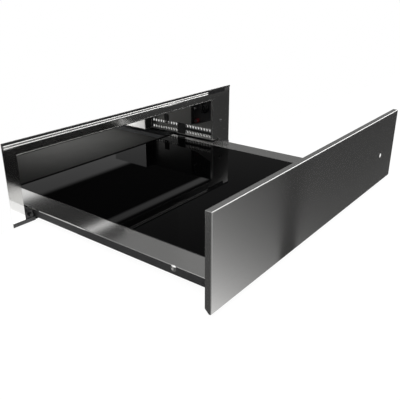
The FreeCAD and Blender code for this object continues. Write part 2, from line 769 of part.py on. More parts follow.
def duct_panel():
    """The cavity's right wall: air slots, a cable slot, and the opening for the control recess."""
    body = new_body("duct_panel")
    place(body, x=mouth_right, y=face)
    sheet_x = (0, s.liner_sheet)
    flange = wall_in - mouth_right
    y = (s.frame_wall, s.duct_length)
    for x, ys, z, top in (
        (sheet_x, y, duct_low, ceiling_z),
        ((0, flange), y, duct_low, duct_low + s.liner_sheet),
        ((0, s.duct_flange), (s.frame_wall, s.frame_wall + s.liner_sheet), duct_low, ceiling_z),
    ):
        base = new_sketch(body, "XY", z)
        rectangle(base, x, ys)
        pad(body, base, top - z)
    opening = new_sketch(body, "YZ", s.liner_sheet)
    outline(opening, recess_points())
    pocket(body, opening, s.liner_sheet)
    low = duct_low + s.vent_rise
    for start, count in VENT_GROUPS:
        slots = new_sketch(body, "YZ", s.liner_sheet)
        for middle in (low, low + s.vent_row_gap):
            rectangle(slots, (start, start + s.vent_width),
                      (middle - s.vent_height / 2, middle + s.vent_height / 2))
        first = pocket(body, slots, s.liner_sheet)
        repeat(body, first, "Y", (count - 1) * s.vent_pitch, count)
    cable = new_sketch(body, "YZ", s.liner_sheet)
    z = mouth_top - s.slot_drop
    rectangle(cable, (s.slot_y - s.slot_width / 2, s.slot_y + s.slot_width / 2),
              (z - s.slot_height / 2, z + s.slot_height / 2))
    pocket(body, cable, s.liner_sheet)
    screw_z = frame_top - s.stile_screw_drop
    drill_y(body, [(half - s.stile_screw_inset - mouth_right, screw_z)], hole_radius, s.frame_wall,
            s.liner_sheet)


recess_floor = mouth_right + s.recess_depth
recess_back = recess_floor + s.liner_sheet
knob_place = (face + s.knob_y, mouth_top - s.knob_drop)
button_place = (face + s.button_y, mouth_top - s.button_drop)
lamp_place = (face + s.lamp_y, mouth_top - s.lamp_drop)


def control_recess():
    body = new_body("control_recess")
    place(body, x=mouth_right, y=face)
    shell = new_sketch(body, "YZ")
    outline(shell, recess_points())
    pad(body, shell, s.recess_depth + s.liner_sheet)
    hollow = new_sketch(body, "YZ")
    outline(hollow, recess_points(s.liner_sheet))
    pocket(body, hollow, s.recess_depth, backwards=True)
    holes = new_sketch(body, "YZ", s.recess_depth)
    for (y, z), radius in ((knob_place, s.shaft_radius), (button_place, s.stem_radius),
                           (lamp_place, s.lamp_radius)):
        circle(holes, y - face, z, radius + s.hole_play)
    pocket(body, holes, s.liner_sheet, backwards=True)


def thermostat():
    y, z = knob_place
    side = s.thermostat_size / 2
    case = block((recess_back, recess_back + s.thermostat_depth), (y - side, y + side),
                 (z - side, z + side))
    shaft_end = recess_floor - s.knob_gap - s.knob_bore + s.shaft_length
    bore = rod(s.shaft_radius + s.running_play, shaft_end - recess_back + s.fit_gap, "X", recess_back, y, z)
    named(cut(case, bore), "thermostat")


def thermostat_knob():
    """A round knob with a raised grip bar, on the end of its shaft."""
    y, z = knob_place
    start = recess_floor - s.knob_gap - s.knob_height
    body = new_body("thermostat_knob")
    place(body, start, y, z)
    profile = new_sketch(body, "XY")
    front = s.knob_grip_height
    slope = front + s.knob_step
    skirt = s.knob_height - s.knob_skirt
    outline(profile, [(front, 0), (front, s.knob_face_radius), (slope, s.knob_waist_radius),
                      (skirt, s.knob_neck_radius), (skirt, s.knob_radius),
                      (s.knob_height, s.knob_radius), (s.knob_height, 0)])
    turn = body.newObject("PartDesign::Revolution", "knob_turn")
    turn.Profile = profile
    turn.ReferenceAxis = (profile, ["H_Axis"])
    turn.Angle = 360.0
    body.Tip = turn
    bar = new_sketch(body, "YZ")
    rectangle(bar, (-s.knob_grip / 2, s.knob_grip / 2), (-s.knob_grip_reach, s.knob_grip_reach))
    pad(body, bar, slope)
    soften(body, s.knob_grip_round, lambda e: runs_along(e, UP) and near(e.CenterOfMass.x, 0))
    bore = new_sketch(body, "YZ", s.knob_height)
    circle(bore, 0, 0, s.shaft_radius + s.running_play)
    pocket(body, bore, s.knob_bore)


def knob_shaft():
    y, z = knob_place
    start = recess_floor - s.knob_gap - s.knob_bore
    named(rod(s.shaft_radius, s.shaft_length, "X", start, y, z), "knob_shaft")


def power_switch():
    y, z = button_place
    ring_start = recess_floor - s.ring_height
    radius = s.button_radius + s.running_play
    tube = cut(rod(radius + s.ring_wall, s.ring_height, "X", ring_start, y, z),
               rod(radius, s.ring_height, "X", ring_start, y, z))
    named(tube, "switch_ring")
    cap_start = ring_start - s.button_travel / 2
    cap = rod(s.button_radius, s.button_thick, "X", cap_start, y, z)
    stem_start = cap_start + s.button_thick
    stem = rod(s.stem_radius, s.stem_length, "X", stem_start, y, z)
    named(fuse([cap, stem]), "power_button")
    case = rod(s.switch_radius, s.switch_depth, "X", recess_back, y, z)
    seat = stem_start + s.stem_length + s.button_travel + s.fit_gap
    bore = rod(s.stem_radius + s.running_play, seat - recess_back, "X", recess_back, y, z)
    named(cut(case, bore), "switch_body")


def pilot_lamp():
    y, z = lamp_place
    start = recess_floor - s.lamp_height
    body = rod(s.lamp_radius, s.lamp_height + s.lamp_tail, "X", start, y, z)
    dome = taper(s.lamp_crown, s.lamp_radius, s.lamp_dome, "X", start - s.lamp_dome, y, z)
    named(fuse([body, dome]), "pilot_lamp")


# Fan and heater -----------------------------------------------------------------------------------------

box_left = mouth_right - s.fan_box_inset
box_start = duct_end + s.fit_gap
box_end = box_start + s.fan_box_length
fan_x = (box_left + wall_in) / 2
fan_z = (duct_low + ceiling_z) / 2
wheel_end = box_end - s.fan_sheet - s.wheel_gap
wheel_start = wheel_end - s.wheel_width
motor_end = wheel_start - s.motor_gap
motor_start = motor_end - s.motor_length


def fan_box():
    """A sheet box that is open to the duct in front and has a round inlet behind."""
    body = new_body("fan_box")
    place(body, y=box_start)
    outer = new_sketch(body, "XZ")
    rectangle(outer, (box_left, wall_in), (duct_low, ceiling_z))
    pad(body, outer, s.fan_box_length, backwards=True)
    wall = s.fan_sheet
    inner = new_sketch(body, "XZ", -wall)
    rectangle(inner, (box_left + wall, wall_in - wall), (duct_low + wall, ceiling_z - wall))
    pocket(body, inner, s.fan_box_length - 2 * wall)
    mouth = new_sketch(body, "XZ")
    inside = wall + s.box_lip
    rectangle(mouth, (mouth_right + inside, wall_in - inside), (duct_low + inside, ceiling_z - inside))
    pocket(body, mouth, wall)
    drill_y(body, [(fan_x, fan_z)], s.inlet_radius, s.fan_box_length - wall, wall)


def fan_wheel():
    """A disc, a ring of blades and a rim, on a hub that sits on the motor's shaft."""
    body = new_body("fan_wheel")
    place(body, fan_x, wheel_start, fan_z)
    r = s.wheel_radius
    disc = new_sketch(body, "XZ")
    circle(disc, 0, 0, r)
    pad(body, disc, s.wheel_disc, backwards=True)
    hub = new_sketch(body, "XZ")
    circle(hub, 0, 0, s.hub_radius)
    pad(body, hub, s.hub_length, backwards=True)
    blade = new_sketch(body, "XZ")
    rectangle(blade, (r - s.blade_depth + s.blade_edge, r - s.blade_edge),
              (-s.blade_thick / 2, s.blade_thick / 2))
    first = pad(body, blade, s.wheel_width - s.wheel_disc / 2, backwards=True)
    ring = body.newObject("PartDesign::PolarPattern", "blades")
    ring.Originals = [first]
    ring.Axis = (origin_axis(body, "Y"), [""])
    ring.Angle = 360.0
    ring.Occurrences = WHEEL_BLADES
    body.Tip = ring
    rim = new_sketch(body, "XZ", s.wheel_disc - s.wheel_width)
    circle(rim, 0, 0, r)
    circle(rim, 0, 0, r - s.blade_depth)
    pad(body, rim, s.wheel_disc, backwards=True)
    drill_y(body, [(0, 0)], s.motor_shaft + s.running_play, 0, s.hub_length)


def fan_shaft():
    start = motor_end - s.motor_bore
    length = s.motor_bore + s.motor_gap + s.hub_length
    named(rod(s.motor_shaft, length, "Y", fan_x, start, fan_z), "fan_shaft")


def fan_motor():
    case = rod(s.motor_radius, s.motor_length, "Y", fan_x, motor_start, fan_z)
    bore_start = motor_end - s.motor_bore - s.fit_gap
    bore = rod(s.motor_shaft + s.running_play, s.motor_bore + s.fit_gap, "Y", fan_x, bore_start, fan_z)
    named(cut(case, bore), "fan_motor")


def motor_bracket():
    """A saddle that carries the motor on the fan box's floor."""
    saddle = block((fan_x - s.bracket_width / 2, fan_x + s.bracket_width / 2),
                   (motor_start + s.fan_sheet, motor_end - s.fan_sheet), (duct_low + s.fan_sheet, fan_z))
    seat = rod(s.motor_radius + s.running_play, s.motor_length, "Y", fan_x, motor_start, fan_z)
    named(cut(saddle, seat), "motor_bracket")


def air_heater():
    """A finned tube, held off the side wall by two lugs."""
    x = (recess_back + wall_in) / 2
    z = fan_z
    start = face + s.heater_start
    parts = [rod(s.heater_radius, s.heater_length, "Y", x, start, z)]
    for i in range(HEATER_FINS):
        y = start + s.fin_first + i * s.fin_pitch
        parts.append(rod(s.fin_radius, s.fin_thick, "Y", x, y, z))
    for y in (start, start + s.heater_length - s.lug_thick):
        parts.append(block((x, wall_in), (y, y + s.lug_thick),
                           (z - s.heater_radius, z + s.heater_radius)))
    named(fuse(parts), "air_heater")


def thermal_cutout():
    y = face + s.heater_start + s.heater_length / 2
    z = fan_z + s.cutout_rise
    start = wall_in - s.cutout_height
    named(rod(s.cutout_radius, s.cutout_height, "X", start, y, z), "thermal_cutout")


# Mains inlet --------------------------------------------------------------------------------------------

def cable_gland():
    x = s.gland_x
    z = deck_z + s.gland_rise
    outside = taper(s.gland_radius, s.gland_nose, s.gland_proud, "Y", x, rear, z)
    neck = rod(s.gland_neck, s.wall_sheet, "Y", x, rear_in, z)
    nut = rod(s.gland_radius, s.gland_nut, "Y", x, rear_in - s.gland_nut, z)
    length = s.gland_nut + s.wall_sheet + s.gland_proud
    bore = rod(s.cable_radius, length, "Y", x, rear_in - s.gland_nut, z)
    named(cut(fuse([outside, neck, nut]), bore), "cable_gland")


def terminal_block():
    """A block with a row of wire funnels."""
    start = liner_face + s.liner_sheet + s.terminal_gap
    x = s.gland_x - s.terminal_width / 2
    case = block((x, x + s.terminal_width), (start, start + s.terminal_depth),
                 (deck_z, deck_z + s.terminal_height))
    pitch = s.terminal_width / TERMINAL_WELLS
    wells = [rod(s.well_radius, s.terminal_height / 2, "Z", x + pitch / 2 + i * pitch,
                 start + s.terminal_depth / 2, deck_z + s.terminal_height / 2)
             for i in range(TERMINAL_WELLS)]
    named(cut(case, fuse(wells)), "terminal_block")


# Latches ------------------------------------------------------------------------------------------------

plunger_z = deck_z + s.latch_rise


def latch_x(sign):
    return sign * (gate + s.latch_width / 2)


def latches():
    """Push latches: a sprung plunger in a case, which presses on the back of the shut drawer front."""
    tip = face - s.closed_gap + s.fit_gap
    for sign, side in SIDES:
        x = latch_x(sign)
        case = block(span(x - s.latch_width / 2, x + s.latch_width / 2),
                     (frame_back, frame_back + s.latch_length), (deck_z, deck_z + s.latch_height))
        bore_depth = s.plunger_seat + s.plunger_travel + s.spring_room
        bore = rod(s.plunger_radius + s.running_play, bore_depth, "Y", x, frame_back, plunger_z)
        named(cut(case, bore), f"{side}_latch_body")
        length = frame_back - tip + s.plunger_seat
        named(rod(s.plunger_radius, length, "Y", x, tip, plunger_z), f"{side}_latch_plunger")


# Rails --------------------------------------------------------------------------------------------------

rail_x = (glass_half + s.tray_sheet + skirt_in) / 2
outer_half = s.rail_width / 2
middle_half = outer_half - s.rail_wall - s.rail_gap
inner_half = middle_half - s.rail_wall - s.rail_gap
web_half = middle_half - s.rail_wall - s.rail_lip - s.rail_gap
outer_low = deck_z
outer_top = deck_z + s.rail_height
step = s.rail_wall + s.rail_gap
rail_start = face + s.rail_start
rail_length = liner_face - s.rail_end_gap - rail_start


def channel(x, width, low, top):
    """A rail's section: an open channel with lips turned inwards."""
    w, t, lip = width, s.rail_wall, s.rail_lip
    return [(x - w, low), (x + w, low), (x + w, top), (x + w - t - lip, top), (x + w - t - lip, top - t),
            (x + w - t, top - t), (x + w - t, low + t), (x - w + t, low + t), (x - w + t, top - t),
            (x - w + t + lip, top - t), (x - w + t + lip, top), (x - w, top)]


def rails():
    """Three nested members a side: outer on the base plate, middle, and inner under the tray's edge."""
    for sign, side in SIDES:
        x = sign * rail_x
        profile_along_y(f"{side}_rail_outer", channel(x, outer_half, outer_low, outer_top), rail_start,
                        rail_length)
        start = rail_start + s.middle_trim - s.travel / 2
        profile_along_y(f"{side}_rail_middle",
                        channel(x, middle_half, outer_low + step, outer_top - step), start,
                        rail_length - 2 * s.middle_trim)
        low = outer_low + 2 * step
        t = s.rail_wall
        top = tray_top - s.tray_sheet
        inner = profile_along_y(
            f"{side}_rail_inner",
            [(x - inner_half, low), (x + inner_half, low), (x + inner_half, low + t),
             (x + web_half, low + t), (x + web_half, top), (x - web_half, top), (x - web_half, low + t),
             (x - inner_half, low + t)],
            front_back + s.inner_trim, tray_length - 2 * s.inner_trim)
        core = new_sketch(inner, "XZ")
        rectangle(core, (x - web_half + t, x + web_half - t), (low + t, top - t))
        pocket(inner, core, tray_length - 2 * s.inner_trim)


# Tray ---------------------------------------------------------------------------------------------------

first_screw_y = front_back + s.side_screw_start
side_screw_places = [(first_screw_y + i * s.side_screw_pitch, tray_top - s.side_screw_drop)
                     for i in range(2)]
front_screw_places = [(x, tray_top - s.front_screw_drop)
                      for x in (-s.front_screw_x, -s.front_screw_x / 3, s.front_screw_x / 3,
                                s.front_screw_x)]
front_hole = s.front_screw_radius + s.hole_play


def glass_opening(out=0):
    """The opening in the steel edges, ((x0, x1), (y0, y1)), widened by out."""
    return ((-glass_half - out, glass_half + out),
            (front_back + s.front_flange - out, tray_end - s.tray_sheet + out))


def tray_frame():
    """Steel edges round the glass, folded down into skirts outside and a ledge under the glass."""
    body = new_body("tray_frame")
    place(body, z=tray_low)
    h = s.tray_height
    t = s.tray_sheet
    outside = ((-tray_half, tray_half), (front_back, tray_end))
    inside = ((-skirt_in, skirt_in), (front_back + t, tray_end - t))
    ring_pad(body, 0, h, outside, inside)
    ring_pad(body, h - t, t, outside, glass_opening())
    ring_pad(body, ledge_low - tray_low, h - (ledge_low - tray_low), glass_opening(t), glass_opening())
    ring_pad(body, ledge_low - tray_low, t, glass_opening(t), glass_opening(-s.ledge_width))
    soften(body, s.edge_round, lambda e: near(e.BoundBox.ZMin, h) and (
        (runs_along(e, ALONG_Y) and near(abs(e.CenterOfMass.x), tray_half))
        or (runs_along(e, ALONG_X) and near(e.CenterOfMass.y, tray_end))))
    for x in (tray_half, -skirt_in):
        holes = new_sketch(body, "YZ", x)
        for y, z in side_screw_places:
            circle(holes, y, z - tray_low, hole_radius)
        pocket(body, holes, t)
    drill_y(body, [(x, z - tray_low) for x, z in front_screw_places], front_hole, front_back, t)
    passes = new_sketch(body, "XZ", t - tray_end)
    width = outer_half + s.rail_pass
    for sign, _ in SIDES:
        rectangle(passes, span(sign * rail_x - width, sign * rail_x + width),
                  (-s.tray_lift, outer_top + s.rail_pass - tray_low))
    pocket(body, passes, t)


def glass_and_seal():
    """The glass plate lies on the ledge, with a black seal between it and the steel edges."""
    (x0, x1), (y0, y1) = glass_opening()
    glass = ((x0 + s.seal_side, x1 - s.seal_side), (y0 + s.seal_side, y1 - s.seal_rear))
    plate("glass_plate", *glass, (ledge_top, ledge_top + s.glass_thick))
    seal = new_body("glass_seal")
    place(seal, z=ledge_top)
    ring_pad(seal, 0, tray_top - ledge_top, glass_opening(), glass)


def tray_pan():
    """A shallow pan under the ledge, filled with insulation."""
    (x0, x1), (y0, y1) = glass_opening(-s.pan_inset)
    t = s.pan_sheet
    pan = plate("tray_pan", (x0, x1), (y0, y1), (ledge_low - s.pan_drop, ledge_low))
    hollow = new_sketch(pan, "XY", s.pan_drop)
    rectangle(hollow, (x0 + t, x1 - t), (y0 + t, y1 - t))
    pocket(pan, hollow, s.pan_drop - t)
    plate("tray_insulation", (x0 + t, x1 - t), (y0 + t, y1 - t), (ledge_low - s.pan_drop + t, ledge_low))


def clamp_bar():
    """A bar behind the front skirt, through which the tray is screwed to the front."""
    y = front_back + s.tray_sheet
    x = s.front_screw_x + s.bar_margin
    bar = plate("clamp_bar", (-x, x), (y, y + s.bar_thick), (tray_low, tray_top - s.tray_sheet))
    drill_y(bar, [(x, z - tray_low) for x, z in front_screw_places], front_hole, y, s.bar_thick)


def front_screws():
    y = front_back + s.tray_sheet + s.bar_thick
    length = s.tray_sheet + s.bar_thick + s.front_thick - s.skin_wall - s.fit_gap
    group("front_screws", [screw("Y", x, y, z, length, "-", s.front_screw_radius, s.front_head_radius)
                           for x, z in front_screw_places])


def rail_brackets():
    """Blocks that tie each skirt to the inner rail beside it."""
    low = outer_top + s.bracket_gap
    top = tray_top - s.tray_sheet
    for sign, side in SIDES:
        pieces = []
        for y, z in side_screw_places:
            x = span(sign * (rail_x + web_half), sign * skirt_in)
            solid = block(x, (y - s.bracket_length / 2, y + s.bracket_length / 2), (low, top))
            pieces.append(cut(solid, rod(hole_radius, x[1] - x[0], "X", x[0], y, z)))
        group(f"{side}_rail_brackets", pieces)


def skirt_screws():
    pieces = []
    for sign, tip in ((-1, "+"), (1, "-")):
        pieces += [screw("X", sign * tray_half, y, z, s.screw_length, tip) for y, z in side_screw_places]
    group("skirt_screws", pieces)


# Drawer front -------------------------------------------------------------------------------------------

lens_x = half - s.lens_inset
lens_z = front_top - s.lens_drop
core_low = front_low + s.grip_height + s.skin_wall
core_top = front_top - s.skin_wall


def front_skin():
    """A folded steel skin with a bevel round its face and a finger bevel behind its lower edge."""
    yf, yb, b = front_face, front_back, s.front_bevel
    skin = profile_along_x(
        "front_skin",
        [(yf + b, front_top), (yb, front_top), (yb, front_low + s.grip_height),
         (yb - s.grip_depth, front_low), (yf + b, front_low), (yf, front_low + b), (yf, front_top - b)],
        -half, s.front_width)
    soften(skin, b, lambda e: runs_along(e, UP) and near(e.CenterOfMass.y, yf), "Chamfer")
    hollow = new_sketch(skin, "XZ", -yb)
    rectangle(hollow, (s.skin_wall, s.front_width - s.skin_wall), (core_low, core_top))
    pocket(skin, hollow, s.front_thick - s.skin_wall, backwards=True)
    drill_y(skin, [(lens_x + half, lens_z)], s.lens_radius + s.lens_rim + s.hole_play, yf, s.skin_wall)


def front_filling():
    """The stiff core inside the skin, and the plate that closes it from behind."""
    x = (s.skin_wall + s.fit_gap - half, half - s.skin_wall - s.fit_gap)
    z = (core_low + s.fit_gap, core_top - s.fit_gap)
    split = front_back - s.back_plate_thick
    start = front_face + s.skin_wall
    lens_hole = s.lens_radius + s.lens_rim + s.hole_play
    drills = [(sx, sz - z[0]) for sx, sz in front_screw_places]
    core = plate("front_core", x, (start, split), z)
    drill_y(core, [(lens_x, lens_z - z[0])], lens_hole, start, split - start)
    drill_y(core, drills, front_hole, start, split - start)
    back = plate("front_back_plate", x, (split, front_back), z)
    drill_y(back, [(lens_x, lens_z - z[0])] + drills, front_hole, split, s.back_plate_thick)


def status_lens():
    """A light guide through the front, in a dark ring."""
    split = front_back - s.back_plate_thick
    ring_length = split - front_face
    outer = s.lens_radius + s.lens_rim
    named(cut(rod(outer, ring_length, "Y", lens_x, front_face, lens_z),
              rod(s.lens_radius, ring_length, "Y", lens_x, front_face, lens_z)), "lens_ring")
    named(rod(s.lens_radius - s.running_play, ring_length, "Y", lens_x, front_face, lens_z), "status_lens")


def front_bumpers():
    x = half - s.bumper_inset
    zs = (core_low + s.bumper_margin, front_top - s.bumper_margin)
    group("front_bumpers", [rod(s.bumper_radius, s.bumper_thick, "Y", sign * x, front_back, z)
                            for sign in (-1, 1) for z in zs])


base_plate()
side_walls()
rear_wall()
top_cover()
cover_screws()
feet()
frame()
frame_screw()
frame_top_lip()
frame_trim_strip()
air_outlet_grille()
liners()
duct_panel()
control_recess()
thermostat()
thermostat_knob()
knob_shaft()
power_switch()
pilot_lamp()
fan_box()
fan_wheel()
fan_shaft()
fan_motor()
motor_bracket()
air_heater()
thermal_cutout()
cable_gland()
terminal_block()
latches()
rails()
tray_frame()
glass_and_seal()
tray_pan()
clamp_bar()
front_screws()
rail_brackets()
skirt_screws()
front_skin()
front_filling()
status_lens()
front_bumpers()

doc.recompute()
for thing in doc.Objects:
    if "Invalid" in thing.State or "Error" in thing.State:
        raise ValueError(f"{thing.Label} is {thing.State}: {thing.getStatusString()}")
check_pockets()
for thing in subparts:
    if thing.Shape.isNull() or not thing.Shape.isValid():
        raise ValueError(f"{thing.Label} has no valid shape")

os.makedirs("parts", exist_ok=True)
for thing in subparts:
    thing.Shape.exportStep(f"parts/{thing.Label}.step")
print(len(subparts), "sub-parts written")
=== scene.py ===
# %% [markdown]
# # A warming drawer, standing open
# A low steel box with a drawer that keeps plates warm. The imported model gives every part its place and
# its joints; this lesson gives them their finishes, adds the small pressed and turned details, and sets
# up the studio. Everything is in metres, in the model's own frame: +X right, +Y to the rear, +Z up.

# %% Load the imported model
import json
import math

import bmesh
import bpy
import numpy as np
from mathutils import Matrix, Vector


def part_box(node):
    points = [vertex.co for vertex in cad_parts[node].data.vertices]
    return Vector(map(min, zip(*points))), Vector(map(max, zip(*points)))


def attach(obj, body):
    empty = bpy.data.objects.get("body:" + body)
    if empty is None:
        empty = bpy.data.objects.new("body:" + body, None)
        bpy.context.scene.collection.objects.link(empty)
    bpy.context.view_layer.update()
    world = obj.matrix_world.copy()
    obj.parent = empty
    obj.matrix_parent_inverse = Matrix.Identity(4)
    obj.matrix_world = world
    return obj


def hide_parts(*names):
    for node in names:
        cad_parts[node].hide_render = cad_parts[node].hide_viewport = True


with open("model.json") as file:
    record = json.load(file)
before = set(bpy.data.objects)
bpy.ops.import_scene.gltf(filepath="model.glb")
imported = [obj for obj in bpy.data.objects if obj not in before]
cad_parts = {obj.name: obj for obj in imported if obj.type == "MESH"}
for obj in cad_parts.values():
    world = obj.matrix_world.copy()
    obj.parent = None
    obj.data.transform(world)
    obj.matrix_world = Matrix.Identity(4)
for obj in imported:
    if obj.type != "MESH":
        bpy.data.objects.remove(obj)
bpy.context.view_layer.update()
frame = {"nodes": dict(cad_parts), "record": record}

MM = 0.001
nodes = frame["nodes"]

# %% [markdown]
# ## Places read from the model
# A few planes are shared by everything that follows, so they're read once from the parts that set them:
# the frame's face, the tray's top, the walls of the cavity. A small table also says which body carries
# each part, and which material slot it has in the record.

# %% Shared planes
frame_low, frame_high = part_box("front_frame")
duct_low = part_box("duct_panel")[0]
housing_low, housing_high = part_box("top_cover")
fan_low, fan_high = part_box("fan_box")
tray_low, tray_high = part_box("tray_frame")
FACE = frame_low.y
DUCT_X = duct_low.x
liner_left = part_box("left_liner")[1].x
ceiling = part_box("ceiling_panel")[0].z
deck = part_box("base_plate")[1].z
rear_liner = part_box("rear_liner")[0].y
rear_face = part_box("rear_wall")[1].y
slot_of = {part["node"]: part["material_slot"] for part in frame["record"]["subparts"]}
body_of = {name: body for body, names in frame["record"]["behaviour"]["bodies"].items() for name in names}
print("frame face at y", round(FACE, 4), "and duct wall at x", round(DUCT_X, 4))

# %% [markdown]
# ## The camera
# A long lens from the left, above the drawer, looking along the glass into the cavity. Its place and its
# two angles fix the view; it isn't rolled, and its focal length gives the view's width.

# %% Camera
CAMERA_PLACE = (-0.69749, -0.75076, 0.36323)
CAMERA_TURN = math.radians(52.3676)
CAMERA_TILT = math.radians(23.0653)
FOCAL_LENGTH = 46.37

camera = bpy.data.objects.new("camera", bpy.data.cameras.new("camera"))
camera.data.lens = FOCAL_LENGTH
camera.data.sensor_width = 36.0
camera.location = CAMERA_PLACE
camera.rotation_euler = (math.pi / 2 - CAMERA_TILT, 0.0, -CAMERA_TURN)
bpy.context.scene.collection.objects.link(camera)
bpy.context.scene.camera = camera
bpy.context.scene.view_settings.view_transform = "Standard"
print("the camera stands at", CAMERA_PLACE)

# %% [markdown]
# ## Writing shader maths as Python
# A finish is a tree of nodes. Placing them one by one is long to write and hard to read, so two small
# classes help. `Value` wraps one output and overloads the operators, so that `1 - mask * 0.3` adds its
# Math nodes itself. `Finish` is a material with one method that makes any other node.

# %% Value: one output, with arithmetic
class Value:
    """One output socket of a shader node; arithmetic on it adds Math nodes to its finish."""

    def __init__(self, finish, socket):
        self.finish = finish
        self.socket = socket

    def math(self, operation, first, second):
        return self.finish.node("Math", {0: first, 1: second}, operation=operation)

    def __add__(self, other):
        return self.math("ADD", self, other)

    def __radd__(self, other):
        return self.math("ADD", other, self)

    def __sub__(self, other):
        return self.math("SUBTRACT", self, other)

    def __rsub__(self, other):
        return self.math("SUBTRACT", other, self)

    def __mul__(self, other):
        return self.math("MULTIPLY", self, other)

    def __rmul__(self, other):
        return self.math("MULTIPLY", other, self)

    def __truediv__(self, other):
        return self.math("DIVIDE", self, other)

    def __rpow__(self, other):
        return self.math("POWER", other, self)


# %% Finish: a material and its node maker
class Finish:
    """A procedural material: one Principled shader, and one method that adds any other node."""

    def __init__(self, name, **constants):
        self.material = bpy.data.materials.new(name)
        self.material.use_nodes = True
        self.tree = self.material.node_tree
        self.shader = self.tree.nodes["Principled BSDF"]
        for socket, value in constants.items():
            self.shader.inputs[socket.replace("_", " ")].default_value = value
        print("finish", name)

    def node(self, kind, sockets=(), output=0, **settings):
        """Add a ShaderNode of this kind: settings first, then the values or links of its sockets."""
        made = self.tree.nodes.new("ShaderNode" + kind)
        for name, value in settings.items():
            setattr(made, name, value)
        for name, value in dict(sockets).items():
            if isinstance(value, Value):
                self.tree.links.new(value.socket, made.inputs[name])
            else:
                made.inputs[name].default_value = value
        return Value(self, made.outputs[output])

    def link(self, value, socket):
        self.tree.links.new(value.socket, self.shader.inputs[socket])

    def surface(self, shader):
        """Show another shader in place of the Principled one."""
        self.tree.links.new(shader.socket, self.tree.nodes["Material Output"].inputs["Surface"])

    def place(self, scale=(1.0, 1.0, 1.0)):
        """The point on the object, stretched along each axis."""
        point = self.node("TexCoord", output="Object")
        return self.node("Mapping", {"Vector": point, "Scale": scale})

    def along(self, axis):
        """The point's coordinate along X, Y or Z, in metres."""
        return self.node("SeparateXYZ", {0: self.node("TexCoord", output="Object")}, output=axis)

    def noise(self, scale=(1.0, 1.0, 1.0), size=1.0, detail=3.0, rough=0.55):
        """Soft random patches between 0 and 1; size counts patches in a metre."""
        return self.node("TexNoise", {"Vector": self.place(scale), "Scale": size, "Detail": detail,
                                      "Roughness": rough})

    def colour(self, low, high, mask):
        """Blend two colours by a mask; the Mix node's colours are its sockets 6 and 7 and output 2."""
        return self.node("Mix", {"Factor": mask, 6: (*low, 1.0), 7: (*high, 1.0)}, output=2,
                         data_type="RGBA")

    def spread(self, value, low, high):
        """Stretch the middle of a noise over low to high, and clamp it there."""
        return self.node("MapRange", {"Value": value, "From Min": 0.3, "From Max": 0.7, "To Min": low,
                                      "To Max": high})

    def bump(self, height, depth, strength=1.0):
        """Let a height between 0 and 1 tilt the surface; depth is in metres."""
        self.link(self.node("Bump", {"Height": height, "Distance": depth, "Strength": strength}),
                  "Normal")


# %% [markdown]
# ## Steel, brushed and polished
# Stainless sheet is brushed with an abrasive belt: thousands of fine scratches, all one way, each a
# little lighter or darker than the next. Noise whose patches are 300 times as long as wide gives them.
# Slow noise over it is the haze left by wiping; it belongs in the roughness, because a smear changes
# how sharply steel mirrors and hardly its colour. One function makes every brushed finish.

# %% Brushed steel
GRAIN = {"X": (0.2, 60.0, 60.0), "Y": (60.0, 0.2, 60.0), "Z": (60.0, 60.0, 0.2)}
EVEN = (1.0, 1.0, 1.0)
STEEL_HUE = (1.0, 0.995, 0.98)


def brushed(name, tone, axis, roughness, streaks=0.10, haze=0.015, depth=0.00001):
    """Steel whose belt marks run along one axis; streaks and haze are how much they vary."""
    finish = Finish(name, Metallic=1.0)
    coarse = finish.noise(GRAIN[axis], 40.0, 4.0, 0.7)
    fine = finish.noise(GRAIN[axis], 150.0, 2.0, 0.6)
    wipe = finish.noise(EVEN, 4.0, 3.0, 0.6)
    grain = coarse * 0.5 + fine * 0.5
    dark = tuple(tone * (1.0 - streaks) * c for c in STEEL_HUE)
    light = tuple(min(tone * (1.0 + streaks), 1.0) * c for c in STEEL_HUE)
    finish.link(finish.colour(dark, light, finish.spread(grain, 0.0, 1.0)), "Base Color")
    rough = finish.spread(wipe, roughness - haze, roughness + haze) + (grain - 0.5) * streaks
    finish.link(rough, "Roughness")
    finish.bump(grain, depth)
    return finish.material


front_steel = brushed("front_steel", 0.60, "X", 0.20, streaks=0.06, haze=0.004, depth=0.000002)
tray_steel = brushed("tray_steel", 0.66, "Y", 0.14, streaks=0.04, haze=0.01)
liner_steel = brushed("liner_steel", 0.50, "Y", 0.34, streaks=0.06)
pan_steel = brushed("pan_steel", 0.55, "X", 0.30)
screw_steel = brushed("screw_steel", 0.70, "Z", 0.14, streaks=0.05)


# %% Polished steel
def polished(name, tone, roughness, haze=0.3):
    """Mirror steel: no grain, only drifting polish, fine wiping marks and a very slight waviness."""
    finish = Finish(name, Metallic=1.0)
    drift = finish.noise(EVEN, 11.0, 4.0, 0.6)
    wipes = finish.noise((2.0, 30.0, 14.0), 30.0, 2.0, 0.6)
    mask = drift * 0.7 + wipes * 0.3
    dark = tuple(tone * 0.96 * c for c in STEEL_HUE)
    light = tuple(min(tone * 1.04, 1.0) * c for c in STEEL_HUE)
    finish.link(finish.colour(dark, light, finish.spread(mask, 0.0, 1.0)), "Base Color")
    finish.link(finish.spread(mask, roughness * (1.0 - haze), roughness * (1.0 + haze)), "Roughness")
    finish.bump(finish.noise(EVEN, 16.0, 1.0), 0.00001, 0.3)
    return finish.material


frame_steel = polished("frame_steel", 0.86, 0.10)
trim_steel = polished("trim_steel", 0.94, 0.10)
edge_steel = polished("edge_steel", 0.80, 0.18)

# %% [markdown]
# ## Zinc, enamel, rubber and plastics
# The hidden housing is zinc-coated sheet, whose crystals make pale and dark flakes. The cavity's floor is
# enamel: matt, and grainy as orange peel. Rubber and moulded plastic have a fine spark-eroded grain.
# Each grain is a noise of about its real size, and a Bump node tilts the surface by it.

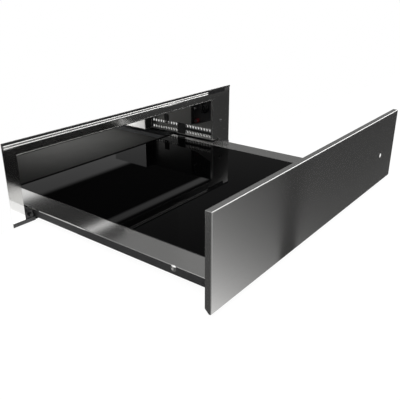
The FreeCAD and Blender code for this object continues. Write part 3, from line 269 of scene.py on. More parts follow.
# %% Sheets and coatings
def zinc(name, tone, roughness=0.36):
    """Galvanised sheet: flat crystals a centimetre across, each with its own shade and its own gloss."""
    finish = Finish(name, Metallic=0.9)
    crystal = finish.node("TexVoronoi", {"Vector": finish.place(EVEN), "Scale": 90.0}, output="Color")
    shade = finish.node("SeparateColor", {0: crystal}, output=0)
    cloud = finish.noise(EVEN, 7.0)
    low = tuple(tone * c for c in (0.86, 0.88, 0.90))
    high = tuple(min(tone * c, 1.0) for c in (1.08, 1.10, 1.12))
    finish.link(finish.colour(low, high, shade * 0.7 + cloud * 0.3), "Base Color")
    finish.link(shade * 0.14 + finish.spread(cloud, roughness - 0.06, roughness + 0.04), "Roughness")
    finish.bump(finish.noise(EVEN, 900.0, 2.0), 0.00002, 0.5)
    return finish.material


def coated(name, colour, roughness, grain, depth, metallic=0.0, mottle=0.2, gloss=0.5):
    """A matt coating or moulding: grain counts bumps in a metre, mottle is how far its shade drifts."""
    finish = Finish(name, Metallic=metallic, Specular_IOR_Level=gloss)
    drift = finish.noise(EVEN, 25.0, 4.0, 0.6)
    low = tuple(c * (1.0 - mottle) for c in colour)
    high = tuple(min(c * (1.0 + mottle), 1.0) for c in colour)
    finish.link(finish.colour(low, high, finish.spread(drift, 0.0, 1.0)), "Base Color")
    texture = finish.noise(EVEN, grain, 2.0, 0.5)
    finish.link(finish.spread(texture, roughness - 0.06, roughness + 0.06), "Roughness")
    finish.bump(texture, depth)
    return finish.material


housing_zinc = zinc("housing_zinc", 0.44, 0.42)
rail_zinc = zinc("rail_zinc", 0.16, 0.48)
floor_enamel = coated("floor_enamel", (0.025, 0.025, 0.024), 0.80, 1400.0, 0.00003, mottle=0.08,
                      gloss=0.05)
black_rubber = coated("black_rubber", (0.012, 0.012, 0.012), 0.62, 1800.0, 0.00004)
black_plastic = coated("black_plastic", (0.016, 0.016, 0.017), 0.42, 2600.0, 0.00002)
satin_black = coated("satin_black", (0.010, 0.010, 0.011), 0.20, 3000.0, 0.000006)
grey_plastic = coated("grey_plastic", (0.10, 0.10, 0.105), 0.48, 2200.0, 0.00002)
white_plastic = coated("white_plastic", (0.80, 0.79, 0.76), 0.40, 1500.0, 0.00002, mottle=0.04)
white_enamel = coated("white_enamel", (0.82, 0.81, 0.79), 0.35, 700.0, 0.00002, mottle=0.03)
wiper_rubber = coated("wiper_rubber", (0.004, 0.004, 0.004), 0.75, 1800.0, 0.00002, gloss=0.05)
# Painted shade: the dark sheet laid over the tray's skirts.
painted_shade_facing = coated("painted_shade_facing", (0.050, 0.050, 0.051), 0.60, 2400.0, 0.00001, mottle=0.05, gloss=0.1)
kick_rubber = coated("kick_rubber", (0.036, 0.036, 0.037), 0.55, 1800.0, 0.00003, mottle=0.1)
core_board = coated("core_board", (0.30, 0.27, 0.22), 0.85, 500.0, 0.0001)
wool = coated("wool", (0.55, 0.50, 0.38), 0.95, 900.0, 0.0006)
stamped_aluminium = coated("stamped_aluminium", (0.66, 0.66, 0.67), 0.34, 600.0, 0.00002, 1.0, 0.06)
motor_paint = coated("motor_paint", (0.05, 0.052, 0.058), 0.38, 900.0, 0.00003)


# %% Glass and lenses
def black_glass(name):
    """Glass-ceramic dyed through: a flawless mirror over black, with a trace of wiping haze."""
    finish = Finish(name, Base_Color=(0.0010, 0.0010, 0.0011, 1.0), IOR=1.10)
    wipe = finish.noise((3.0, 1.0, 1.0), 8.0, 3.0, 0.6)
    finish.link(finish.spread(wipe, 0.008, 0.025), "Roughness")
    return finish.material


def lens(name, colour, glow):
    """Clear or tinted moulded plastic with a little light of its own inside."""
    finish = Finish(name, Roughness=0.12, Coat_Weight=0.6, Emission_Strength=glow,
                    Emission_Color=(*colour, 1.0))
    haze = finish.noise(EVEN, 300.0, 2.0)
    low = tuple(c * 0.8 for c in colour)
    finish.link(finish.colour(low, colour, haze), "Base Color")
    return finish.material


glass = black_glass("black_glass")
red_lens = lens("red_lens", (0.13, 0.010, 0.013), 0.05)
smoked_lens = lens("smoked_lens", (0.10, 0.10, 0.10), 0.0)
clear_lens = lens("clear_lens", (0.92, 0.92, 0.90), 0.9)

# %% [markdown]
# ## Surfaces from formulas
# Every new piece here starts as a grid of points: two parameters, one array of coordinates, no loop over
# vertices. A grid is closed one way round, like a tube, and its ends may be capped. `Shape` gathers
# such grids, joins the points that coincide at seams and poles, turns all faces outwards, and softens
# the shading except across sharp edges.

# %% Shape: grids gathered into one mesh
SAME_POINT = 2e-6
SHARP = math.radians(35)


class Shape:
    """Surfaces gathered into one piece of the object."""

    def __init__(self):
        self.points = []
        self.faces = []
        self.count = 0

    def add(self, grid, caps=False):
        """Add a tube of points (rows, columns, 3), its last column joined to its first; caps close it."""
        rows, columns = grid.shape[:2]
        i, j = np.meshgrid(np.arange(rows - 1), np.arange(columns), indexing="ij")
        k = (j + 1) % columns
        quads = np.stack([i * columns + j, i * columns + k, (i + 1) * columns + k, (i + 1) * columns + j], -1)
        self.faces += (quads.reshape(-1, 4) + self.count).tolist()
        if caps:
            first = np.arange(columns) + self.count
            self.faces += [first[::-1].tolist(), (first + (rows - 1) * columns).tolist()]
        self.points.append(grid.reshape(-1, 3))
        self.count += rows * columns
        return self

    def piece(self, name, body, slot, material, replaced=()):
        """Make the mesh object, and say what it rides on and what it replaces. The slot is not used."""
        mesh = bpy.data.meshes.new(name)
        mesh.from_pydata(np.concatenate(self.points), [], self.faces)
        tidy_mesh(mesh)
        enter(bpy.data.objects.new(name, mesh), body, material, replaced)


def tidy_mesh(mesh):
    """Join doubled points, drop empty faces, turn faces outwards, and mark sharp edges."""
    work = bmesh.new()
    work.from_mesh(mesh)
    bmesh.ops.remove_doubles(work, verts=work.verts, dist=SAME_POINT)
    bmesh.ops.dissolve_degenerate(work, edges=work.edges, dist=SAME_POINT / 2)
    bmesh.ops.recalc_face_normals(work, faces=work.faces)
    for edge in work.edges:
        edge.smooth = edge.is_manifold and edge.calc_face_angle(0.0) < SHARP
    for face in work.faces:
        face.smooth = True
    work.to_mesh(mesh)
    work.free()


def enter(piece, body, material, replaced=()):
    """Put a finished piece into the scene and tie it to the model."""
    bpy.context.scene.collection.objects.link(piece)
    piece.data.materials.clear()
    piece.data.materials.append(material)
    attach(piece, body)
    if replaced:
        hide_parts(*replaced)
    print(piece.name, "has", len(piece.data.polygons), "faces and rides on", body)


# %% [markdown]
# ## Softened edges
# No sheet or moulding has a perfectly sharp edge, and the thin highlight along an edge is much of what
# makes a thing look real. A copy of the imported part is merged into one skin, its flat faces are joined,
# and a Bevel rounds every edge over 35 degrees. The copy then stands for the part.

# %% Parts with softened edges
def softened(node, width, material):
    """A copy of a part whose edges are rounded; width is how far each rounding reaches, in mm."""
    mesh = nodes[node].data.copy()
    mesh.name = node + "_softened"
    if "custom_normal" in mesh.attributes:
        mesh.attributes.remove(mesh.attributes["custom_normal"])
    work = bmesh.new()
    work.from_mesh(mesh)
    bmesh.ops.remove_doubles(work, verts=work.verts, dist=SAME_POINT)
    bmesh.ops.join_triangles(work, faces=work.faces, angle_face_threshold=math.radians(0.2),
                             angle_shape_threshold=math.pi)
    for face in work.faces:
        face.smooth = True
    sharp = [edge for edge in work.edges if edge.is_manifold and edge.calc_face_angle() > SHARP]
    bmesh.ops.bevel(work, geom=sharp, offset=width * MM, offset_type="OFFSET", segments=2,
                    profile=0.5, affect="EDGES", clamp_overlap=False)
    # The order of new triangles varies from run to run, so they go last, in the order of their centres.
    new = set(bmesh.ops.triangulate(work, faces=[f for f in work.faces if len(f.verts) > 4])["faces"])
    old = [face for face in work.faces if face not in new]
    for index, face in enumerate(old + sorted(new, key=lambda face: face.calc_center_median()[:])):
        face.index = index
    work.faces.sort()
    work.to_mesh(mesh)
    work.free()
    piece = bpy.data.objects.new(node + "_softened", mesh)
    level = piece.modifiers.new("flat_faces", "WEIGHTED_NORMAL")
    level.mode = "FACE_AREA"
    level.weight = 100
    enter(piece, body_of[node], material, [node])


SOFTENED = (
    ("front_skin", 0.40, front_steel), ("front_back_plate", 0.20, pan_steel),
    ("tray_frame", 0.35, tray_steel), ("front_frame", 0.25, frame_steel),
    ("glass_plate", 0.50, glass), ("frame_top_lip", 0.35, black_rubber),
    ("fan_box", 0.30, white_enamel), ("left_latch_body", 0.60, satin_black),
    ("right_latch_body", 0.60, satin_black), ("thermostat", 0.80, grey_plastic),
    ("terminal_block", 0.50, grey_plastic), ("clamp_bar", 0.30, rail_zinc),
    ("top_cover", 0.40, housing_zinc), ("left_rail_outer", 0.25, rail_zinc),
    ("right_rail_outer", 0.25, rail_zinc),
)
for node, width, material in SOFTENED:
    softened(node, width, material)
print(len(SOFTENED), "parts have softened edges")

# %% [markdown]
# ## Dressing the other parts
# The parts whose shape is already right keep it and get a finish through their own material slots. The
# table reads as a bill of materials.

# %% Give each part its finish
DRESSING = {
    trim_steel: ["frame_trim_strip"],
    white_plastic: ["lens_ring"],
    housing_zinc: ["left_side_wall", "right_side_wall", "rear_wall"],
    floor_enamel: ["base_plate"],
    liner_steel: ["left_liner", "rear_liner", "duct_panel", "ceiling_panel"],
    pan_steel: ["tray_pan"],
    rail_zinc: ["left_rail_middle", "right_rail_middle", "left_rail_inner", "right_rail_inner",
                "left_rail_brackets", "right_rail_brackets", "motor_bracket", "knob_shaft", "fan_shaft"],
    black_rubber: ["glass_seal", "front_bumpers"],
    black_plastic: ["air_outlet_grille", "control_recess", "thermal_cutout"],
    grey_plastic: ["switch_body"],
    satin_black: ["left_latch_plunger", "right_latch_plunger"],
    clear_lens: ["status_lens"],
    wool: ["ceiling_insulation", "tray_insulation"],
    core_board: ["front_core"],
    stamped_aluminium: ["fan_wheel", "air_heater"],
    motor_paint: ["fan_motor"],
}
for material, names in DRESSING.items():
    for name in names:
        slots = nodes[name].data.materials
        for index in range(len(slots)):
            slots[index] = material
        if not slots:
            slots.append(material)
print(sum(len(names) for names in DRESSING.values()), "parts are dressed")

# %% [markdown]
# ## Turned, carried and bulged
# Three formulas cover nearly every small part. A turned part is a profile of (radius, height) points
# rotated about an axis, as on a lathe; a ripple may vary the radius with the angle, which gives flutes
# and hexagons. A carried part is a closed section moved along a path, mitred at its corners, as an
# extrusion is. A bulge is a flat sheet pressed out by a smooth height, as in a stamping press.

# %% Rounded profiles
def softened_profile(points, radius, steps=4):
    """Round each inner corner C of a polyline by (1-t)^2 A + 2t(1-t) C + t^2 B, A and B a radius away."""
    points = np.array(points, float)
    t = np.linspace(0.0, 1.0, steps)[:, None]
    out = [points[:1]]
    for before, corner, after in zip(points[:-2], points[1:-1], points[2:]):
        reach = min(radius, np.linalg.norm(before - corner) / 2, np.linalg.norm(after - corner) / 2)
        a = corner + (before - corner) / np.linalg.norm(before - corner) * reach
        b = corner + (after - corner) / np.linalg.norm(after - corner) * reach
        out.append((1 - t) ** 2 * a + 2 * t * (1 - t) * corner + t ** 2 * b)
    return np.concatenate(out + [points[-1:]])


# %% Turned parts
BASES = {"X": ((0, 1, 0), (0, 0, 1), (1, 0, 0)), "-X": ((0, 0, 1), (0, 1, 0), (-1, 0, 0)),
         "Y": ((0, 0, 1), (1, 0, 0), (0, 1, 0)), "-Y": ((1, 0, 0), (0, 0, 1), (0, -1, 0)),
         "Z": ((1, 0, 0), (0, 1, 0), (0, 0, 1))}


def turned(profile, centre, axis, sides=48, ripple=None):
    """P(i, a) = centre + r_i k(a) (u cos a + v sin a) + h_i w, where k is the ripple."""
    u, v, w = (np.array(vector, float) for vector in BASES[axis])
    profile = np.array(profile, float)
    angle = np.arange(sides) * 2 * np.pi / sides
    factor = np.ones(sides) if ripple is None else ripple(angle)
    ring = (np.cos(angle) * factor)[:, None] * u + (np.sin(angle) * factor)[:, None] * v
    return np.array(centre) + profile[:, 0, None, None] * ring + profile[:, 1, None, None] * w


# %% Carried parts
def carried(section, path, rise):
    """Move a closed section (out, up) along a flat path; P = path + out * mitred normal + up * rise."""
    path = np.array(path, float)
    rise = np.array(rise, float)
    steps = np.diff(path, axis=0)
    steps /= np.linalg.norm(steps, axis=1)[:, None]
    sides = np.cross(steps, rise)
    before, after = np.vstack([sides[:1], sides]), np.vstack([sides, sides[-1:]])
    mitre = (before + after) / (1.0 + np.sum(before * after, axis=1))[:, None]
    section = np.array(section, float)
    return path[:, None, :] + section[None, :, :1] * mitre[:, None, :] + section[None, :, 1:] * rise


# %% Bulges
def bulge(corner, across, along, out, height, rows=9, columns=9, power=4.0):
    """A closed pillow on a sheet: height (1-|2s-1|^p)(1-|2t-1|^p) over corner + s across + t along."""
    s, t = np.meshgrid(np.linspace(0, 1, rows), np.linspace(0, 1, columns), indexing="ij")
    lift = height * (1 - np.abs(2 * s - 1) ** power) * (1 - np.abs(2 * t - 1) ** power)
    flat = np.array(corner) + s[..., None] * np.array(across) + t[..., None] * np.array(along)
    top = flat + lift[..., None] * np.array(out)
    return np.concatenate([top, flat[:, ::-1]], axis=1)


# %% [markdown]
# ## Screws
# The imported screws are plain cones. Real ones have a low dome with a six-pointed socket, so each is
# turned again: a dome whose height falls with the square of the radius, with a star pressed into it.
# The star's reach varies with the cosine of six times the angle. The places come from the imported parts.

# %% Find the separate solids of a part
def islands(node):
    """Boxes (lowest, highest corner) of a part's separate solids, grown from shared points."""
    work = bmesh.new()
    work.from_mesh(nodes[node].data)
    bmesh.ops.remove_doubles(work, verts=work.verts, dist=SAME_POINT)
    left = set(work.verts)
    boxes = []
    while left:
        front, group = [left.pop()], []
        while front:
            vert = front.pop()
            group.append(vert.co[:])
            for edge in vert.link_edges:
                other = edge.other_vert(vert)
                if other in left:
                    left.remove(other)
                    front.append(other)
        corners = np.array(group)
        boxes.append((corners.min(0), corners.max(0)))
    work.free()
    return sorted(boxes, key=lambda box: tuple(box[0].round(4)))


# %% Dome screws
def dome_screw(shape, low, high, axis):
    """A screw in the box low to high, its head at the box's end along the axis.

    Head: z = H (1 - 0.55 (r/R)^2) for r over the star, less the star's depth inside it, where the
    star reaches R (0.36 + 0.07 cos 6a).
    """
    letter = "XYZ".index(axis[-1])
    sign = -1.0 if axis[0] == "-" else 1.0
    others = [i for i in range(3) if i != letter]
    radius = (high - low)[others[0]] / 2
    shank = radius * 0.44
    top = high[letter] if sign > 0 else low[letter]
    length = (high - low)[letter]
    centre = (low + high) / 2
    height = radius * 0.5
    centre[letter] = top - sign * height
    share = np.array([0.0, 0.26, 0.34, 0.40, 0.46, 0.60, 0.75, 0.88, 0.96, 1.0])
    angle = np.arange(36) * 2 * np.pi / 36
    star = 0.36 + 0.07 * np.cos(6 * angle)
    depth = np.clip((star[None, :] - share[:, None]) / 0.05, 0.0, 1.0) * 0.5
    rise = height * (1 - 0.55 * share[:, None] ** 2 - depth)
    dome = turned(np.stack([share * radius, share * 0.0], -1), centre, axis, 36)
    dome += rise[..., None] * np.array(BASES[axis][2], float)
    body = turned([(radius, 0.45 * height), (radius, 0.0), (shank, 0.0), (shank, height - length),
                   (0.0, height - length)], centre, axis, 36)
    shape.add(dome)
    shape.add(body)


for node, axis in (("cover_screws", "Z"), ("frame_screw", "-Y"), ("front_screws", "Y")):
    shape = Shape()
    for low, high in islands(node):
        dome_screw(shape, low, high, axis)
    finish = rail_zinc if node == "frame_screw" else screw_steel
    shape.piece(node + "_domed", body_of[node], slot_of[node], finish, [node])
    print(len(islands(node)), node)
skirt_shape = Shape()
washer = np.array([0.0, 1.4 * MM, 1.4 * MM])
for low, high in islands("skirt_screws"):
    dome_screw(skirt_shape, low - washer, high + washer, "-X" if low[0] < 0 else "X")
skirt_shape.piece("skirt_screws_domed", body_of["skirt_screws"], slot_of["skirt_screws"], trim_steel,
                  ["skirt_screws"])

# %% [markdown]
# ## The controls
# The temperature knob is turned with a fluted skirt and a raised bar for the fingers, with a pale line
# on it that shows the setting. The power button has a hollow cap for a fingertip and sits in a red
# ring. A small lamp beside them has a dark lens in a bright collar.

# %% Where a control stands
def control(node):
    """A control's seat on the wall, its radius and how far it stands out; it points to -X."""
    low, high = (np.array(corner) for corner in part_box(node))
    middle = (low + high) / 2
    return (high[0], middle[1], middle[2]), (high[1] - low[1]) / 2, high[0] - low[0]


# %% Knob
seat, knob_r, knob_h = control("thermostat_knob")
knob_x, knob_y, knob_z = seat


def flutes(angle):
    """Twenty-four shallow flutes: 1 - 0.025 (1 + cos 24a) / 2."""
    return 1.0 - 0.0125 * (1.0 + np.cos(24 * angle))


knob_profile = softened_profile([(0.0, 0.0), (knob_r, 0.0), (knob_r, 0.2 * knob_h),
                                 (0.95 * knob_r, 0.22 * knob_h), (0.86 * knob_r, 0.56 * knob_h),
                                 (0.0, 0.6 * knob_h)], 0.8 * MM, 5)
bar_angle = np.arange(64) * 2 * np.pi / 64
bar_reach, bar_half = 0.80 * knob_r, 0.15 * knob_r
bar_ring = np.stack([np.abs(np.cos(bar_angle)) ** 0.4 * np.sign(np.cos(bar_angle)) * bar_half,
                     np.abs(np.sin(bar_angle)) ** 0.4 * np.sign(np.sin(bar_angle)) * bar_reach], -1)
levels = np.array([(1.12, 0.52), (1.0, 0.75), (0.97, 0.93), (0.86, 0.985), (0.6, 1.0), (0.0, 1.0)])
bar = np.zeros((len(levels), len(bar_ring), 3))
bar[..., 0] = knob_x - levels[:, 1, None] * knob_h
bar[..., 1] = knob_y + levels[:, 0, None] * bar_ring[None, :, 0]
bar[..., 2] = knob_z + levels[:, 0, None] ** 0.3 * bar_ring[None, :, 1]
knob = Shape().add(turned(knob_profile, seat, "-X", 96, flutes)).add(bar, caps=True)
knob.piece("fluted_knob", "knob", slot_of["thermostat_knob"], satin_black, ["thermostat_knob"])

pointer = bulge((knob_x - knob_h + 0.2 * MM, knob_y - 0.5 * MM, knob_z + 0.25 * bar_reach), (0, MM, 0),
                (0, 0, 0.6 * bar_reach), (-1, 0, 0), 0.2 * MM, 5, 9, 8.0)
Shape().add(pointer).piece("knob_pointer", "knob", "clear_lens", white_plastic)
print("knob radius", round(knob_r, 4))

# %% Ring
place, radius, reach = control("switch_ring")
button_r = control("power_button")[1]
ring_profile = softened_profile([(1.02 * button_r, 0.0), (1.02 * button_r, 0.93 * reach),
                                 (0.5 * (button_r + radius), reach), (radius, 0.8 * reach),
                                 (radius, 0.0)], 0.9 * MM, 6)
Shape().add(turned(np.vstack([ring_profile, ring_profile[:1]]), place, "-X", 64)).piece(
    "round_switch_ring", "housing", slot_of["switch_ring"], red_lens, ["switch_ring"])

# %% Button
place, radius, reach = control("power_button")
rim = reach - 0.6 * MM
stem_r, cap_back = 0.42 * radius, reach - 4.5 * MM
button_profile = softened_profile([(0.0, reach - 0.8 * MM), (0.6 * radius, rim), (0.92 * radius, reach),
                                   (radius, rim), (radius, cap_back), (stem_r, cap_back), (stem_r, 0.0),
                                   (0.0, 0.0)], 0.4 * MM, 4)
Shape().add(turned(button_profile, place, "-X", 64)).piece(
    "hollow_button", "button", slot_of["power_button"], satin_black, ["power_button"])

# %% Lamp
place, radius, reach = control("pilot_lamp")
dome_r, dome_h = 0.86 * radius, 1.2 * MM
arc = np.linspace(0.0, np.pi / 2, 9)
dome = np.stack([dome_r * np.sin(arc), reach - dome_h + dome_h * np.cos(arc)], -1)
Shape().add(turned(np.vstack([dome, [(dome_r, 0.0), (0.0, 0.0)]]), place, "-X", 48)).piece(
    "domed_pilot_lamp", "housing", slot_of["pilot_lamp"], smoked_lens, ["pilot_lamp"])
collar = softened_profile([(0.88 * radius, reach - 3.5 * MM), (0.88 * radius, reach - 1.0 * MM),
                           (1.10 * radius, reach - 1.3 * MM), (1.14 * radius, reach - 3.5 * MM)],
                          0.3 * MM, 4)
Shape().add(turned(np.vstack([collar, collar[:1]]), place, "-X", 48)).piece(
    "lamp_collar", "housing", "trim_steel", trim_steel)

# %% [markdown]
# ## The mouth's edge and the frame's kick strip
# A thin bright strip is rolled over the edge of the mouth, up its right side and along its top, and a
# dark rubber strip runs along the foot of the frame on each side of the opening.

# %% Mouth edge
mouth_right, mouth_top = DUCT_X, ceiling - 0.6 * MM
mouth_path = [(mouth_right, FACE, duct_low.z), (mouth_right, FACE, mouth_top),
              (liner_left, FACE, mouth_top)]
edge_section = softened_profile([(-1.2 * MM, -0.5 * MM), (0.5 * MM, -0.5 * MM), (0.5 * MM, 1.5 * MM),
                                 (0.0, 1.5 * MM), (0.0, 0.0), (-1.2 * MM, 0.0), (-1.2 * MM, -0.5 * MM)],
                                0.2 * MM, 4)[:-1]
Shape().add(carried(edge_section, mouth_path, (0, 1, 0)), caps=True).piece(
    "mouth_edge", "housing", "trim_steel", edge_steel)

# %% Kick strip
gate_half = -tray_low.x + 3.5 * MM
kick_section = softened_profile([(0.0, 0.0), (0.0, -1.0 * MM), (6.2 * MM, -1.0 * MM), (6.2 * MM, 0.0),
                                 (0.0, 0.0)], 0.4 * MM, 4)[:-1]
kick = Shape()
for start, end in ((frame_low.x, -gate_half), (gate_half, frame_high.x)):
    foot = [(start, FACE, frame_low.z), (end, FACE, frame_low.z)]
    kick.add(carried(kick_section, foot, (0, 1, 0)), caps=True)
kick.piece("frame_kick_strips", "housing", "seal_rubber", kick_rubber)

# %% Facings on the tray's skirts
# The dark facings are painted shade: they keep the steel skirts dark where they mirror the floor beside them.
facings = Shape()
for sign, skirt in ((-1, tray_low.x), (1, tray_high.x)):
    facings.add(bulge((skirt, tray_low.y + 0.4 * MM, 6.6 * MM),
                      (0, tray_high.y - tray_low.y - 0.8 * MM, 0), (0, 0, 11.8 * MM), (sign, 0, 0),
                      0.5 * MM, 61, 13, 12.0))
facings.piece("skirt_facings", body_of["tray_frame"], "black_plastic", painted_shade_facing)

# %% Wiper along the tray's rear edge
wiper = bulge((tray_low.x + 0.5 * MM, tray_high.y - 5.2 * MM, tray_high.z),
              (tray_high.x - tray_low.x - 1 * MM, 0, 0), (0, 4.8 * MM, 0), (0, 0, 1), 0.7 * MM, 61, 13, 12.0)
Shape().add(wiper).piece("rear_wiper", body_of["tray_frame"], "seal_rubber", wiper_rubber)

# %% [markdown]
# ## The air duct's slots
# The sheet at each slot is pressed out into a small scoop that turns the warm air along the wall. A
# scoop is a quarter of a dome: it leaves the wall along one edge, stands proud in the middle and
# closes at its ends. There are dozens, so each has only a few faces. One black piece covers the sensor
# between the two groups, runs as a band between the front group's rows, and makes the cable's grommet
# and the fan box's gasket.

# %% Scoops
SLOT_WIDTH, SLOT_HEIGHT, SLOT_PITCH = 4.6 * MM, 8.0 * MM, 8.2 * MM
SLOT_ROWS = (duct_low.z + 7 * MM, duct_low.z + 22 * MM)
SLOT_GROUPS = ((FACE + 7 * MM, 9), (FACE + 107 * MM, 10))
SCOOP_REACH = 2.2 * MM


def scoop(y, z):
    """x = -D sin(pi t)^0.6 s (2 - s), where s runs over the slot's width and t up its height."""
    s, t = np.meshgrid(np.linspace(0, 1, 5), np.linspace(0, 1, 7), indexing="ij")
    proud = SCOOP_REACH * np.sin(np.pi * t) ** 0.6 * s * (2 - s)
    outer = np.stack([DUCT_X - proud, y + (1 - s) * SLOT_WIDTH, z + (t - 0.5) * SLOT_HEIGHT], -1)
    inner = outer + np.array([0.4 * MM, 0, 0])
    return np.concatenate([outer, inner[:, ::-1]], axis=1)


scoops = Shape()
for start, count in SLOT_GROUPS:
    for index in range(count):
        for z in SLOT_ROWS:
            scoops.add(scoop(start + index * SLOT_PITCH, z), caps=True)
scoops.piece("vent_scoops", "housing", slot_of["duct_panel"], edge_steel)
print(sum(count for _, count in SLOT_GROUPS) * 2, "scoops")

# %% Sensor cover, band, grommet and gasket
sensor = bulge((DUCT_X, FACE + 80.5 * MM, duct_low.z + 0.5 * MM), (0, 24 * MM, 0), (0, 0, 26 * MM),
               (-1, 0, 0), 2.0 * MM, 13, 13, 10.0)
frame_band = bulge((DUCT_X, FACE + 4 * MM, SLOT_ROWS[0] + 4.6 * MM), (0, 78 * MM, 0), (0, 0, 5.8 * MM),
                   (-1, 0, 0), 1.2 * MM, 13, 7, 8.0)
grommet = bulge((DUCT_X, FACE + 132 * MM, 41 * MM), (0, 15.5 * MM, 0), (0, 0, 24 * MM), (-1, 0, 0),
                1.0 * MM, 9, 9, 8.0)
gasket = bulge((fan_low.x + 0.4 * MM, fan_low.y, fan_low.z + 0.6 * MM),
               (DUCT_X - fan_low.x - 0.6 * MM, 0, 0), (0, 0, ceiling - fan_low.z - 1.6 * MM),
               (0, -1, 0), 0.5 * MM, 9, 13, 12.0)
Shape().add(sensor).add(frame_band).add(grommet).add(gasket).piece(
    "sensor_cover", "housing", "black_plastic", black_rubber)

# %% [markdown]
# ## Latches, feet and gland
# A white striker plate stands beside each push latch. The feet are turned rubber with a groove round
# them and a hollow sole. The cable gland is a hexagon nut inside the rear wall, with a collar and a
# tapering nose outside.

# %% Latch strikers
for side, sign in (("left", -1), ("right", 1)):
    latch_low, latch_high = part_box(side + "_latch_body")
    inner = latch_high.x if sign < 0 else latch_low.x
    striker = bulge((inner, latch_low.y + 1 * MM, latch_low.z + 0.5 * MM), (0, 26 * MM, 0),
                    (0, 0, latch_high.z - latch_low.z - 1 * MM), (-sign, 0, 0), 1.6 * MM, 9, 9, 8.0)
    Shape().add(striker).piece(side + "_latch_striker", "housing", "grey_plastic", white_plastic)

# %% Feet
feet = Shape()
for low, high in islands("feet"):
    r, h = (high[0] - low[0]) / 2, high[2] - low[2]
    profile = softened_profile([(0.0, 0.15 * h), (0.78 * r, 0.15 * h), (0.82 * r, 0.0), (0.95 * r, 0.0),
                                (r, 0.2 * h), (r, 0.45 * h), (0.96 * r, 0.5 * h), (r, 0.55 * h), (r, h),
                                (0.0, h)], 0.3 * MM, 3)
    feet.add(turned(profile, ((low[0] + high[0]) / 2, (low[1] + high[1]) / 2, low[2]), "Z", 64))
feet.piece("turned_feet", "housing", slot_of["feet"], black_rubber, ["feet"])

# %% Cable gland
def hexagon(angle):
    """The radius of a hexagon with corners at 1: cos 30 over cos of the angle to the nearest flat."""
    return math.cos(math.pi / 6) / np.cos(angle % (math.pi / 3) - math.pi / 6)


low, high = (np.array(corner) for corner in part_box("cable_gland"))
gland_r, reach = (high[0] - low[0]) / 2, high[1] - low[1]
gland_at = ((low[0] + high[0]) / 2, low[1], (low[2] + high[2]) / 2)
wall_out, wall_in = rear_face - low[1], rear_face - low[1] - 1 * MM
bore = 0.4 * gland_r
nut = turned([(bore, 0.0), (gland_r, 0.0), (gland_r, wall_in), (bore, wall_in), (bore, 0.0)],
             gland_at, "Y", 48, lambda angle: hexagon(angle) * 0.999)
nose = softened_profile([(bore, wall_in), (0.68 * gland_r, wall_in), (0.68 * gland_r, wall_out),
                         (gland_r, wall_out), (gland_r, wall_out + 0.3 * (reach - wall_out)),
                         (0.8 * gland_r, wall_out + 0.5 * (reach - wall_out)), (0.76 * gland_r, reach),
                         (bore, reach), (bore, wall_in)], 0.5 * MM, 4)
Shape().add(nut).add(turned(nose, gland_at, "Y", 48)).piece(
    "hexagon_gland", "housing", slot_of["cable_gland"], black_plastic, ["cable_gland"])

# %% [markdown]
# ## Pressings in the housing
# Thin sheet drums and bends unless it is stiffened, so the side walls and the cover carry long raised
# ribs, and every air slot in the rear wall has a hood. The ribs are bulges, and the power in the formula
# sets how square the pressing is. A hood is open below and curves back to the wall at its top.

# %% Ribs
housing_length = housing_high.y - housing_low.y
ribs = Shape()
for x, out in ((housing_low.x, -1), (housing_high.x, 1)):
    for z in (42 * MM, 88 * MM):
        ribs.add(bulge((x, housing_low.y + 50 * MM, z), (0, housing_length - 100 * MM, 0), (0, 0, 14 * MM),
                       (out, 0, 0), 2.0 * MM, 49, 11, 2.5))
for x in (-0.19, -0.035, 0.12):
    ribs.add(bulge((x, housing_low.y + 60 * MM, housing_high.z), (70 * MM, 0, 0),
                   (0, housing_length - 120 * MM, 0), (0, 0, 1), 1.8 * MM, 17, 49, 6.0))
ribs.piece("housing_ribs", "housing", slot_of["top_cover"], housing_zinc)

# %% Hoods over the rear slots
HOOD_ROWS, HOODS = 4, 7
HOOD_PITCH, HOOD_WIDTH, HOOD_REACH, HOOD_RISE = 56 * MM, 40 * MM, 3.0 * MM, 5 * MM
FIRST_ROW, ROW_PITCH = deck + 65.8 * MM, 12 * MM


def hood(x, z):
    """y = D (1 - |2s - 1|^6) sqrt(1 - t^2), where s runs over the slot's width and t up the hood."""
    s, t = np.meshgrid(np.linspace(0, 1, 13), np.linspace(0, 1, 5), indexing="ij")
    proud = HOOD_REACH * (1 - np.abs(2 * s - 1) ** 6) * np.sqrt(1 - t ** 2)
    outer = np.stack([x - MM + s * (HOOD_WIDTH + 2 * MM), rear_face + proud, z + t * HOOD_RISE], -1)
    inner = outer - np.array([0, 0.5 * MM, 0])
    return np.concatenate([outer, inner[:, ::-1]], axis=1)


hoods = Shape()
for row in range(HOOD_ROWS):
    for column in range(HOODS):
        hoods.add(hood((column - HOODS / 2) * HOOD_PITCH, FIRST_ROW + row * ROW_PITCH), caps=True)
hoods.piece("rear_hoods", "housing", slot_of["rear_wall"], housing_zinc)
print(HOODS * HOOD_ROWS, "hoods")

# %% [markdown]
# ## The studio
# The drawer stands on a white floor before a white wall. The wall starts where the housing starts and
# has an opening of the housing's size, as a kitchen niche does, so only the frame and the drawer show
# from the front. It shows to the camera alone and only from the front: from behind, and to the metal's
# mirrors, it is clear. Floor and world are white wherever camera, mirror or glass see them.

# %% Floor and wall
PAPER = 1.0
FLOOR_PAPER = 1.09
FLOOR_SHARE = 0.86
WIDE = 12.0


def seen(finish):
    """1 where a ray comes straight from the camera, a mirror or glass, and 0 for light that is spread."""
    rays = [finish.node("LightPath", output=path)
            for path in ("Is Camera Ray", "Is Glossy Ray", "Is Transmission Ray")]
    return (rays[0] + rays[1]) + rays[2]


def flat_mesh(name, corners, faces, material):
    """A mesh of flat faces that belongs to the studio and not to the drawer."""
    mesh = bpy.data.meshes.new(name)
    mesh.from_pydata(corners, [], faces)
    mesh.materials.append(material)
    made = bpy.data.objects.new(name, mesh)
    bpy.context.scene.collection.objects.link(made)
    return made


